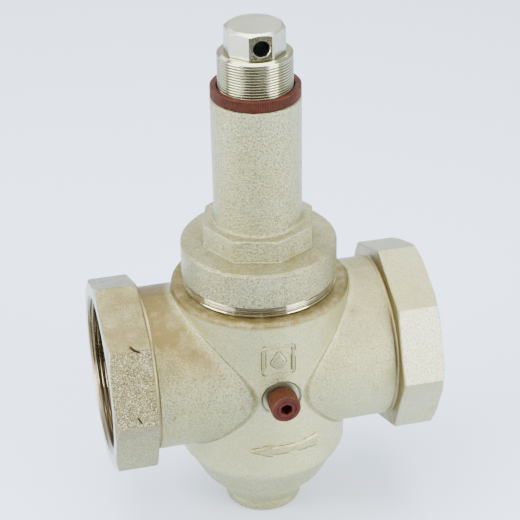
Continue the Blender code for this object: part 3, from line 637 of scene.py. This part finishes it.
def surface_net(field, low, step):
    """Points and quads of the surface where a sampled field is zero."""
    inside = field < 0
    part = [slice(None, -1), slice(1, None)]
    corners = [(a, b, c) for a in (0, 1) for b in (0, 1) for c in (0, 1)]
    count = sum(inside[part[a], part[b], part[c]].astype(np.int8) for a, b, c in corners)
    active = (count > 0) & (count < 8)
    cells = np.argwhere(active)
    number = np.full(count.shape, -1)
    number[active] = np.arange(len(cells))
    total = np.zeros((len(cells), 3))
    crossed = np.zeros(len(cells))
    for first in corners:
        for axis in range(3):
            if first[axis]:
                continue
            second = tuple(1 if k == axis else v for k, v in enumerate(first))
            f0 = field[tuple((cells + first).T)]
            f1 = field[tuple((cells + second).T)]
            hit = (f0 < 0) != (f1 < 0)
            share = np.where(hit, f0 / np.where(f0 == f1, 1, f0 - f1), 0)
            point = np.array(first, float) + share[:, None] * (np.array(second) - np.array(first))
            total += point * hit[:, None]
            crossed += hit
    points = low + step * (cells + total / crossed[:, None])
    quads = []
    for axis in range(3):
        others = [(1, 2), (2, 0), (0, 1)][axis]
        shift = np.eye(3, dtype=int)
        start = [slice(1, -1)] * 3
        start[axis] = slice(0, -1)
        ahead = list(start)
        ahead[axis] = slice(1, None)
        a, b = inside[tuple(start)], inside[tuple(ahead)]
        edges = np.argwhere(a != b) + np.array([0 if k == axis else 1 for k in range(3)])
        outward = a[a != b]
        ring = [edges - shift[others[0]] - shift[others[1]], edges - shift[others[1]], edges,
                edges - shift[others[0]]]
        face = np.stack([number[tuple(c.T)] for c in ring], -1)
        quads.append(np.where(outward[:, None], face, face[:, ::-1]))
    return points, np.concatenate(quads)


def field_normals(points, reach=0.0002):
    slope = np.stack([casting_field(points + d) - casting_field(points - d) for d in np.eye(3) * reach], -1)
    return slope / (2 * reach)


def relax(points, quads, rounds=4):
    """Even out the points and put them back on the surface."""
    ends = np.concatenate([quads[:, [0, 1]], quads[:, [1, 2]], quads[:, [2, 3]], quads[:, [3, 0]]])
    degree = np.bincount(ends[:, 0], minlength=len(points))[:, None]
    for _ in range(rounds):
        total = np.stack([np.bincount(ends[:, 0], weights=points[ends[:, 1], k], minlength=len(points))
                          for k in range(3)], -1)
        move = total / np.maximum(degree, 1) - points
        normal = unit(field_normals(points))
        points = points + 0.6 * (move - normal * (move * normal).sum(1, keepdims=True))
        slope = field_normals(points)
        points = points - slope * (casting_field(points) / np.maximum((slope ** 2).sum(1), 1e-9))[:, None]
    return points


def cutter(name, profile, steps, stand=UP):
    """A solid that is only used to cut with."""
    sections = np.asarray(profile, float)[None]
    mesh = sweep_mesh(name, sections, circle_angles(steps, math.pi / steps), stand, closed=False)
    return bpy.data.objects.new(name, mesh)


def halved(made, level, keep_above):
    """Cut a cutter at a level and close it."""
    shape = bmesh.new()
    shape.from_mesh(made.data)
    geometry = shape.verts[:] + shape.edges[:] + shape.faces[:]
    cut = bmesh.ops.bisect_plane(shape, geom=geometry, plane_co=(0, 0, AXIS_Z + level), plane_no=(0, 0, 1),
                                 clear_inner=keep_above, clear_outer=not keep_above)
    rim = [e for e in cut["geom_cut"] if isinstance(e, bmesh.types.BMEdge)]
    bmesh.ops.contextual_create(shape, geom=rim)
    bmesh.ops.recalc_face_normals(shape, faces=shape.faces[:])
    shape.to_mesh(made.data)
    shape.free()
    return made


def casting_cutters():
    chamber = [(0.0, 0.052), (UPPER_CHAMBER + 0.003, 0.052), (UPPER_CHAMBER, 0.0482),
               (UPPER_CHAMBER, -0.009), (0.030, -0.009), (0.030, -0.017), (0.0405, -0.017),
               (0.0405, -0.058), (0.020, -0.058), (0.020, -0.085), (0.0, -0.085)]
    made = [cutter("chamber", chamber, 128)]
    for stand, wall in ((INLET, 0.0440), (OUTLET, 0.0460)):
        bore = [(0.0, 0.075), (0.060, 0.075), (0.060, NECK_END), (0.0430, NECK_END), (0.0390, 0.0612),
                (0.0390, wall), (0.0, wall)]
        made.append(cutter("bore", bore, 112, stand))
    passage = [(0.0, 0.047), (0.0384, 0.047), (0.0384, 0.025), (0.0, 0.025)]
    made.append(halved(cutter("inlet_passage", passage, 100, INLET), -0.0176, False))
    made.append(halved(cutter("outlet_passage", passage, 100, OUTLET), -0.0084, True))
    for stand in (FRONT, REAR):
        port = [(0.0, 0.051), (0.01165, 0.051), (0.0112, 0.04705), (0.0108, 0.0469), (0.0074, 0.0469),
                (0.0066, 0.0461), (0.0066, 0.034), (0.0, 0.034)]
        made.append(cutter("spot_face", port, 72, stand))
    return made


def casting():
    """The cast body without its turned ends, from a blended field, then bored."""
    low = np.array([-0.0715, -0.0535, -0.0035])
    high = np.array([0.0715, 0.0535, 0.1535])
    counts = np.ceil((high - low) / GRID).astype(int) + 1
    lines = [low[k] + GRID * np.arange(counts[k]) for k in range(3)]
    field = np.empty(counts)
    for i, x in enumerate(lines[0]):
        y, z = np.meshgrid(lines[1], lines[2], indexing="ij")
        field[i] = casting_field(np.stack([np.full_like(y, x), y, z], -1))
    points, quads = surface_net(field, low, GRID)
    points = relax(points, quads)
    final = carved("body_casting", quad_mesh("body_casting", points, quads), casting_cutters())
    flat = np.zeros(len(final.vertices) * 3, np.float32)
    final.vertices.foreach_get("co", flat)
    barrel, pipe = casting_parts(flat.reshape(-1, 3).astype(float))
    beside = np.where(np.minimum(barrel, pipe) > -0.0025, np.clip(barrel - pipe, -0.02, 0.02), 0.02)
    final.attributes.new("crease", "FLOAT", "POINT").data.foreach_set("value", beside.astype(np.float32))
    add_piece("body_casting", final, CAST, "housing", ["valve_body"], weighted=False)


def pipe_end(name, stand):
    """Octagonal wrench end with its thread, mouth chamfer, turned face and relief groove."""
    corner_radius, rounding, half_side = 0.0550, 0.0012, math.radians(22.5)
    mouth, sleeve, sleeve_end = 0.0447, 0.0422, 0.0648
    groove_floor, thread_root, thread_depth, pitch = 0.0450, 0.04394, 0.00148, 0.002309
    angles, outer = polygon_shape(8, corner_radius * math.cos(half_side), rounding, 0.0, 10, 4)
    angles = angles + half_side
    inner = FACE - END_LENGTH
    face = np.minimum(outer - 0.0005, 0.0515)
    edge = FACE - (outer - face) * 0.514
    back = np.minimum(outer - 0.0007, 0.0533)
    corners = [(mouth, FACE), (face, FACE), (outer, edge), (outer, inner + 0.0008), (back, inner),
               (groove_floor, inner), (groove_floor, sleeve_end), (sleeve, sleeve_end),
               (sleeve, inner + 0.0005)]
    radii = [0.00015, 0.0003, 0.0006, 0.0007, 0.0012, 0.0014, 0, 0, 0]
    sections = fillet(sections_of(corners, len(angles)), radii)
    along = np.linspace(inner + 0.0010, FACE - 0.0012, 96)
    fade = np.clip((along - inner - 0.0010) / 0.002, 0, 1)
    wave = thread_wave(along[None, :] / pitch - angles[:, None] / TAU)
    cone = np.maximum(mouth - (FACE - along), 0.0)[None, :]
    radius = np.maximum(thread_root - thread_depth * (0.15 + 0.85 * wave) * fade[None, :], cone)
    thread = np.stack([radius, np.repeat(along[None], len(angles), 0)], -1)
    mesh = sweep_mesh(name, np.concatenate([sections, thread], 1), angles, stand)
    sign = 1.0 if stand is INLET else -1.0

    def rule(centres, normals):
        radius = np.hypot(centres[:, 1], centres[:, 2] - AXIS_Z)
        along = centres[:, 0] * sign
        turned = (along > FACE - 0.0004) | ((radius > 0.0505) & (normals[:, 0] * sign > 0.3))
        relief = (along < inner + 0.0003) & (radius > 0.0436)
        thread = (radius < 0.0446) & ~relief
        # the flat facing front and upwards
        front = (normals[:, 1] < -0.85) & (np.abs(normals[:, 2] - 0.38) < 0.15)
        return np.select([relief, thread, turned, front], [3, 2, 1, 4], 0)

    cast = CAST_END_CLEAN if stand is INLET else CAST_END
    # the inlet end's upper front flat gets a painted highlight, the outlet end's a darker grainy finish
    front_flat_highlight_and_grain = CAST_END_HIGHLIGHT if stand is INLET else CAST_END_GRAINY
    looks = [cast, END_TURNED, THREAD_METAL, GROOVE_SHADED_METAL, front_flat_highlight_and_grain]
    add_piece(name, mesh, looks, "housing", ["valve_body"], sharp=40)
    paint_faces(mesh, rule)


# ---------------------------------------------------------------- raised marks on the casting
def on_barrel(u, v, height):
    """A point on the front of the barrel: u along it to the right, v is the level."""
    turn = -math.pi / 2 + u / BARREL
    drop = np.where(v < -0.0545, (-0.0545 - v) * 0.7, 0) + (0.0465 - v) * (0.0016 / 0.101)
    radius = BARREL - np.maximum(drop, 0) + height
    return np.stack([radius * np.cos(turn), radius * np.sin(turn), v + AXIS_Z], -1)


def on_neck(side, turn):
    """Points on a neck: u towards the middle of the valve, v round the pipe."""
    def place(u, v, height):
        angle = turn + v / NECK
        radius = NECK + height
        return np.stack([side * (0.0562 - u), -radius * np.cos(angle), radius * np.sin(angle) + AXIS_Z], -1)
    return place


def strip(name, path, widths, place, height=0.0006, slope=0.0005, closed=False):
    """A raised strip along a path, with sloping sides, fitted to a curved surface."""
    path = np.asarray(path, float)
    widths = np.broadcast_to(np.asarray(widths, float), len(path))
    if closed:
        along = np.roll(path, -1, 0) - np.roll(path, 1, 0)
    else:
        along = np.gradient(path, axis=0)
    along = unit(along)
    across = np.stack([-along[:, 1], along[:, 0]], -1)
    foot = slope + 0.00065
    shape = [(-1, -foot, -0.0008), (-1, -foot, 0.00003), (-1, -slope, 0.00006), (-1, 0.0, height * 0.8),
             (-0.8, 0.0, height), (0.0, 0.0, height), (0.8, 0.0, height), (1, 0.0, height * 0.8),
             (1, slope, 0.00006), (1, foot, 0.00003), (1, foot, -0.0008)]
    rows = []
    for side, out, lift in shape:
        offset = path + across * (side * widths + out)[:, None]
        rows.append(place(offset[:, 0], offset[:, 1], np.full(len(path), lift)))
    points = np.stack(rows, 1)
    count, ring = points.shape[:2]
    quads = grid_quads(count, ring, closed)
    mesh = closed_mesh(name, points, quads)
    add_piece(name, mesh, [CAST_MARK, MARK_FOOT_SHADE], "housing", sharp=50)
    # the foot faces of each strip get dirt with painted shade
    foot_dirt_and_shade = np.zeros(len(mesh.polygons), np.int32)
    strips = np.arange(len(quads)) % ring
    foot_dirt_and_shade[:len(quads)] = np.isin(strips, (0, 1, ring - 3, ring - 2))
    mesh.polygons.foreach_set("material_index", foot_dirt_and_shade)


def raised_pad(name, half_u, half_v, place, height=0.0006):
    """A plain pad with rounded corners standing on a curved surface."""
    turn = circle_angles(48)
    squarer = (np.abs(np.cos(turn)) ** 5 + np.abs(np.sin(turn)) ** 5) ** -0.2
    shape = [(0.0011, -0.0008), (0.0011, 0.00003), (0.0005, 0.00006), (0.0, height * 0.8),
             (-0.0004, height), (-0.0015, height)]
    rows = []
    for grow, lift in shape:
        u = (half_u + grow) * np.cos(turn) * squarer
        v = (half_v + grow) * np.sin(turn) * squarer
        rows.append(place(u + 0.0008, v, np.full(len(turn), lift)))
    mesh = closed_mesh(name, np.stack(rows, 1), grid_quads(len(turn), len(shape), True, False))
    add_piece(name, mesh, CAST_MARK, "housing", sharp=50)


def casting_marks():
    """Flow arrow, a plain square frame with a drop, and a plain pad, all raised on the casting."""
    length = 0.0400
    t = np.array([0, 0.02, 0.10, 0.20, 0.295, 0.305, 0.40, 0.50, 0.60, 0.70, 0.80, 0.90, 1.0])
    width = np.array([0.0002, 0.0004, 0.0013, 0.0024, 0.0034, 0.0019, 0.0019, 0.0019, 0.0020, 0.0022, 0.0025,
                      0.0029, 0.0033])
    path = np.stack([-0.0175 + t * length, np.full(len(t), -0.0350)], -1)
    strip("flow_arrow", path, width, on_barrel, 0.0010, 0.0006)
    centre = np.array([-0.0015, 0.0255])
    half = 0.0082
    square = [(-half, -half), (half, -half), (half, half), (-half, half)]
    frame_path = centre + fillet(square, 0.0010, 4)[0]
    strip("mark_frame", frame_path, 0.00045, on_barrel, 0.0007, 0.0004, closed=True)
    t = np.linspace(0, 1, 15)
    drop = 0.0036 * np.sin(math.pi * t ** 1.5) + 0.00015
    path = centre + np.stack([0.0 * t, 0.0058 - 0.0112 * t], -1)
    strip("mark_drop", path, drop, on_barrel, 0.0006, 0.0004)
    raised_pad("size_pad", 0.0034, 0.0052, on_neck(-1, -0.18))


# ---------------------------------------------------------------- bonnet, lock ring, screw
def bonnet():
    """Spring tube, octagonal collar, flange and grooved band in one turned piece."""
    flat = 0.0316 * math.cos(math.radians(22.5))
    angles, collar = polygon_shape(8, flat, 0.0008, math.radians(-105.7), 8, 4)
    band = [(0.0413, 0.0546, 0.0001), (0.0413, 0.0538, 0.0001)]
    for level in (0.0529, 0.0518, 0.0509):
        band += [(0.0421, level + 0.0009, 0.0002), (0.0421, level, 0.0001),
                 (0.0416, level - 0.0001, 0.0), (0.0416, level - 0.0003, 0.0)]
    top_edge = np.minimum(collar - 0.0007, 0.0301)
    rows = [  # radius, level, rounding of the corner
        (0.0209, 0.1590, 0.0002), (0.0232, 0.1590, 0.0003), (0.0239, 0.1583, 0.0003), (0.0239, 0.0894, 0.0),
        (0.0243, 0.0881, 0.0006), (0.0252, 0.0877, 0.0004), (top_edge, 0.0877, 0.0004),
        (collar, 0.0877 - (collar - top_edge) * 0.55, 0.0004), (collar, 0.0757, 0.0003),
        (collar + 0.0005, 0.0753, 0.0004), (0.0413, 0.0748, 0.0006), (0.0426, 0.0736, 0.0009),
        (0.0426, 0.0551, 0.0003), *band, (0.0422, 0.0505, 0.0001), (0.04235, 0.0501, 0.0003),
        (0.04235, 0.0496, 0.0003), (0.0421, 0.0493, 0.0001), (0.0377, 0.0493, 0.0002),
        (0.0377, 0.0478, 0.0002), (0.0350, 0.0478, 0.0001), (0.0350, 0.0446, 0.0001),
        (0.0377, 0.0446, 0.0002), (0.0377, 0.0250, 0.0003), (0.0367, 0.0240, 0.0003),
        (0.0330, 0.0240, 0.0003), (0.0320, 0.0250, 0.0003), (0.0320, 0.0660, 0.0008),
        (0.0201, 0.0660, 0.0003), (0.0201, 0.1582, 0.0002)]
    sections = fillet(sections_of([row[:2] for row in rows], len(angles)), [row[2] for row in rows])
    mesh = sweep_mesh("bonnet_fine", sections, angles)

    def rule(centres, normals):
        radius = np.hypot(centres[:, 0], centres[:, 1])
        level = centres[:, 2] - AXIS_Z
        turned = ((level < 0.0552) & (radius > 0.036)) | (radius < 0.0216) | (level < 0.0480)
        return turned.astype(int)

    add_piece("bonnet_fine", mesh, [BONNET_BLASTED, BONNET_TURNED], "housing", ["bonnet"],
              sharp=38)
    paint_faces(mesh, rule)


def knurl(ridges, flank):
    """Angles round a knurled rim, four for each ridge, and how far each stands out."""
    angles = circle_angles(ridges * 4)
    return angles, np.array([0.0, flank, 0.00034, flank])[np.arange(ridges * 4) % 4]


def pale_grooves(mesh, rings, band, columns=4):
    """Give the groove faces of a knurled sweep its second material."""
    number = np.arange(len(mesh.polygons))
    column = number // rings % columns
    groove = np.isin(column, (0, columns - 1)) & np.isin(number % rings, band)
    mesh.polygons.foreach_set("material_index", groove.astype(np.int32))


def lock_ring():
    """Brown lock ring with fine upright knurling."""
    angles, ridge = knurl(168, 0.00030)
    outer, plain, bore = 0.02345 + ridge, 0.0231, 0.0202
    levels = [(bore + 0.0004, 0.1654), (plain - 0.0002, 0.1654), (plain, 0.16525), (outer, 0.16505),
              (outer, 0.15975), (plain, 0.15945), (plain - 0.0004, 0.1593), (bore, 0.1593), (bore, 0.1650)]
    mesh = sweep_mesh("lock_ring_fine", sections_of(levels, len(angles)), angles)
    add_piece("lock_ring_fine", mesh, [BROWN, BROWN_PALE_GROOVE], "ring", ["lock_ring"], sharp=30)
    pale_grooves(mesh, len(levels), (2, 3, 4))


def adjusting_screw():
    """Threaded plug M40 x 1.5, and its octagonal head with a cross hole."""
    angles = circle_angles(120)
    shoulder, bottom, thread_top, crest, pitch = 0.1841, 0.1390, 0.1824, 0.01972, 0.0015
    along = np.arange(thread_top, bottom + 0.0002, -pitch / 12)
    wave = worn_wave(along[None, :] / pitch - angles[:, None] / TAU)
    fade = np.clip((thread_top - along) / 0.0010, 0, 1)[None, :]
    radius = crest - 0.00060 * (1 - wave) * fade
    radius = np.minimum(radius, 0.0186 + (along - bottom)[None, :] * 0.8)
    thread = np.stack([radius, np.repeat(along[None], len(angles), 0)], -1)
    above = [(0.0, shoulder), (0.0148, shoulder), (0.0177, shoulder), (0.0180, shoulder - 0.0001),
             (0.0195, shoulder - 0.0010), (crest, shoulder - 0.0013)]
    below = [(0.0186, bottom), (0.0124, bottom), (0.0120, bottom + 0.0004), (0.0120, 0.1760), (0.0, 0.1800)]
    sections = np.concatenate([sections_of(above, 120), thread, sections_of(below, 120)], 1)
    mesh = sweep_mesh("screw_thread", sections, angles, closed=False)
    add_piece("screw_thread", mesh, [SCREW_METAL, ROOT_SHADE], "screw", ["adjusting_screw"],
              sharp=80)

    # faces in the thread roots get painted shade
    def roots(centres, normals):
        off_axis = np.hypot(centres[:, 0], centres[:, 1])
        return ((off_axis > 0.0188) & (off_axis < 0.01938)).astype(int)

    paint_faces(mesh, roots)
    screw_head(shoulder, 0.1980)


def screw_head(foot, head_top):
    """Octagon of 30 mm across flats from a 32 mm bar, chamfered, with a cross hole painted dark inside as
    shade.
    """
    flat, bar_radius, hole, hole_level = 0.0150, 0.0160, 0.0044, 0.1901
    limit = math.acos(flat / bar_radius)
    one_side = np.concatenate([np.linspace(-limit, limit, 7), np.linspace(limit, TAU / 8 - limit, 5)[1:-1]])
    angles = np.concatenate([one_side + side * TAU / 8 for side in range(8)])
    away = (angles + TAU / 16) % (TAU / 8) - TAU / 16
    outer = np.minimum(flat / np.cos(away), bar_radius)
    top = 0.0136
    rows = [(0, head_top), (top, head_top), (outer, head_top - (outer - top) * 0.60), (outer, foot + 0.0004),
            (outer - 0.0004, foot - 0.0001), (0, foot - 0.0001)]
    sections = fillet(sections_of(rows, len(angles)), [0, 0.0004, 0.0003, 0.0002, 0, 0], closed=False)
    mesh = sweep_mesh("screw_head", sections, angles, closed=False)
    bar = cutter("cross_hole", [(0.0, 0.02), (hole + 0.0052, 0.02), (hole, 0.0148), (hole, -0.0148),
                                (hole + 0.0052, -0.02), (0.0, -0.02)], 48, FRONT)
    bar.data.transform(Matrix.Translation((0, 0, hole_level)))
    final = carved("screw_head", mesh, [bar])
    looks = [HEAD_METAL, HOLE_SHADE, HEAD_ROUGH]
    add_piece("screw_head", final, looks, "screw", ["adjusting_screw"], sharp=30)

    def rule(centres, normals):
        off_axis = np.hypot(centres[:, 0], centres[:, 2] - AXIS_Z - hole_level)
        # the faces inside the cross hole get painted shade
        drilled = (off_axis < hole + 0.0001) & (np.abs(normals[:, 1]) < 0.5)
        return np.select([drilled, np.abs(normals[:, 1]) > 0.95], [1, 2], 0)

    paint_faces(final, rule)


# ---------------------------------------------------------------- gauge plugs
def gauge_plug(prefix, stand):
    """Knurled plug with moulded rings and a hexagon socket, and the O-ring under its head."""
    angles, ridge = knurl(44, 0.00028)
    outer = 0.00785 + ridge
    socket = polygon_radius(angles, 6, 0.0030, 0.0002)
    end, start = 0.0592, 0.0484
    rows = [(0, end - 0.0062), (socket * 0.9, end - 0.0060), (socket, end - 0.0056), (socket, end - 0.0004),
            (socket + 0.0004, end), (0.0046, end), (0.0049, end - 0.0004), (0.0054, end - 0.0004),
            (0.0057, end), (0.0072, end), (0.0076, end - 0.0005), (outer, end - 0.0010),
            (outer, start + 0.0006), (0.0075, start), (0.0053, start), (0.0053, 0.0469), (0.0063, 0.0459),
            (0.0063, 0.0400), (0.0053, 0.0390), (0.0, 0.0390)]
    name = prefix + "_plug_fine"
    mesh = sweep_mesh(name, sections_of(rows, len(angles)), angles, stand, closed=False)
    add_piece(name, mesh, [BROWN, BROWN_PALE_GROOVE], "housing", [prefix + "_gauge_plug"],
              sharp=30)
    pale_grooves(mesh, len(rows) - 1, (10, 11, 12))
    seat = [(0.0119, 0.0466), (0.0119, 0.0474), (0.0114, 0.0478), (0.0108, 0.0475), (0.0102, 0.0471),
            (0.0068, 0.04705), (0.0068, 0.0466)]
    lathe(prefix + "_port_seat", seat, PORT_METAL, "valve_body", 0.0002, 72, stand)
    cord = arc((0.0061, 0.0477), 0.0007, 90, -250, 16)
    lathe(prefix + "_o_ring_fine", cord, RUBBER, prefix + "_plug_o_ring", 0, 64, stand)


# ---------------------------------------------------------------- spring
def spring_half(name, first, last, start, end):
    """Part of the round-wire spring between two shares of its length."""
    wire, coil, turns = 0.0025, 0.0163, 8
    low, high = 0.0591, 0.1291
    dead = 2 * wire + 0.0003
    live = (high - low - 2 * dead) / (turns - 2)
    t = np.linspace(first, last, 180) * turns
    level = low + live * np.clip(t - 1, 0, turns - 2) + dead * (np.minimum(t, 1) + np.maximum(t - turns + 1, 0))
    angle = TAU * t
    out = np.stack([np.cos(angle), np.sin(angle), 0 * t], -1)
    centre = out * coil + np.stack([0 * t, 0 * t, level + AXIS_Z], -1)
    turn = circle_angles(14)[None, :, None]
    points = centre[:, None] + wire * (np.cos(turn) * out[:, None] + np.sin(turn) * np.array([0.0, 0.0, 1.0]))
    mesh = closed_mesh(name, points, grid_quads(*points.shape[:2], False))
    made = add_piece(name, mesh, SPRING_STEEL, None, ["pressure_spring"])
    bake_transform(made)


# ---------------------------------------------------------------- assembly
casting()
pipe_end("inlet_end", INLET)
pipe_end("outlet_end", OUTLET)
casting_marks()
bonnet()
lock_ring()
adjusting_screw()
gauge_plug("front", FRONT)
gauge_plug("rear", REAR)
LOWER_PLATE, UPPER_PLATE = 0.1561, 0.2311
SPRING_MIDDLE = (LOWER_PLATE + UPPER_PLATE) / 2
spring_half("spring_lower", 0.0, 0.5, LOWER_PLATE, SPRING_MIDDLE)
spring_half("spring_upper", 0.5, 1.0, SPRING_MIDDLE, UPPER_PLATE)

# the pieces inside keep their CAD shapes and get these finishes
FINISHES = {"rubber": RUBBER, "white_plastic": WHITE, "brass": BRASS, "stainless": STAINLESS}
for subpart in frame["record"]["subparts"]:
    node = frame["nodes"][subpart["node"]]
    look = FINISHES.get(subpart.get("material_slot"))
    if look and not node.hide_render:
        node.data.materials.clear()
        node.data.materials.append(look)


# ---------------------------------------------------------------- studio
def make_floor():
    mesh = bpy.data.meshes.new("floor")
    reach = 3.0
    mesh.from_pydata([(-reach, -reach, -0.0002), (reach, -reach, -0.0002), (reach, reach, -0.0002),
                      (-reach, reach, -0.0002)], [], [(0, 1, 2, 3)])
    made = placed("floor", mesh)
    n = Nodes("floor_white")
    tone = n.mix(n.span(n.noise(0.6, 1.0), 0.3, 0.7), (0.70, 0.81, 0.995), (0.715, 0.82, 0.995))
    mesh.materials.append(n.finish(tone, 0.7, 0.0))


def make_card(name, tone, left, right, near_left, near_right, far, high):
    """A dark card before the valve that only shows in its reflections, as the open front and the
    walls of a light tent do. It lies on the floor and may rise at its far end."""
    low = 0.0006
    steps = 12

    def at(azimuth, distance, level):
        return (distance * math.sin(azimuth), -distance * math.cos(azimuth), level)

    points = []
    for i in range(steps + 1):
        azimuth = math.radians(left + (right - left) * i / steps)
        share = min(max((math.degrees(azimuth) + 12) / 24, 0.0), 1.0)
        near = near_left + (near_right - near_left) * share * share * (3 - 2 * share)
        points += [at(azimuth, near, low), at(azimuth, far, low), at(azimuth, far, high)]
    faces = [(3 * i + k, 3 * i + k + 1, 3 * i + k + 4, 3 * i + k + 3) for i in range(steps) for k in range(2)]
    mesh = bpy.data.meshes.new(name)
    mesh.from_pydata(points, [], faces)
    made = placed(name, mesh)
    n = Nodes(name)
    mesh.materials.append(n.finish(n.mix(n.noise(0.3, 1.0), tone, tuple(c * 1.5 for c in tone)), 0.9, 0.0))
    made.visible_camera = False
    made.visible_diffuse = False
    made.visible_shadow = False


def area_light(name, place, target, size, power, colour=(1.0, 1.0, 1.0)):
    light = bpy.data.lights.new(name, "AREA")
    light.shape = "RECTANGLE"
    light.size, light.size_y = size
    light.energy = power
    light.color = colour
    made = placed(name, light)
    made.location = place
    made.rotation_mode = "QUATERNION"
    made.rotation_quaternion = (Vector(target) - Vector(place)).to_track_quat("-Z", "Y")


def make_world():
    world = bpy.data.worlds.new("studio")
    bpy.context.scene.world = world
    world.use_nodes = True
    background = world.node_tree.nodes["Background"]
    background.inputs["Color"].default_value = (0.91, 0.955, 1.0, 1.0)
    background.inputs["Strength"].default_value = 1.15


def make_camera():
    """The camera that sees the valve as the photographer did, without shift or blur."""
    azimuth, elevation, roll = math.radians(-13.203), math.radians(30.783), math.radians(-1.064)
    distance = 0.887172
    aim_right, aim_up = -0.0003, 0.05127
    back = np.array([math.sin(azimuth) * math.cos(elevation), -math.cos(azimuth) * math.cos(elevation),
                     math.sin(elevation)])
    right = np.array([math.cos(azimuth), math.sin(azimuth), 0.0])
    up = np.cross(back, right)
    rolled_right = right * math.cos(roll) + up * math.sin(roll)
    rolled_up = -right * math.sin(roll) + up * math.cos(roll)
    place = back * distance + rolled_right * aim_right + rolled_up * aim_up + np.array([0, 0, AXIS_Z])
    camera = bpy.data.cameras.new("camera")
    camera.sensor_width = 36.0
    camera.lens = 108.27
    made = placed("camera", camera)
    made.matrix_world = Matrix([[rolled_right[k], rolled_up[k], back[k], place[k]] for k in range(3)]
                               + [[0, 0, 0, 1]])
    bpy.context.scene.camera = made


make_floor()
make_card("front_card", (0.020, 0.019, 0.017), -48, 21, 0.165, 0.275, 1.0, 0.30)
make_card("left_card", (0.20, 0.19, 0.16), -112, -64, 0.16, 0.16, 0.7, 0.02)
make_card("right_card", (0.20, 0.19, 0.16), 36, 80, 0.30, 0.30, 0.8, 0.02)
make_world()
area_light("left_box", (-1.15, -0.25, 0.55), (0, 0, 0.12), (0.8, 1.1), 42)
area_light("right_box", (0.82, -0.90, 0.50), (0, 0, 0.12), (0.6, 1.0), 38)
area_light("top_box", (0.0, 0.10, 1.2), (0, 0.10, 0.1), (1.0, 0.8), 24)
area_light("back_box", (0.0, 1.3, 1.3), (0, 1.3, 0.0), (2.4, 1.0), 24)
make_camera()
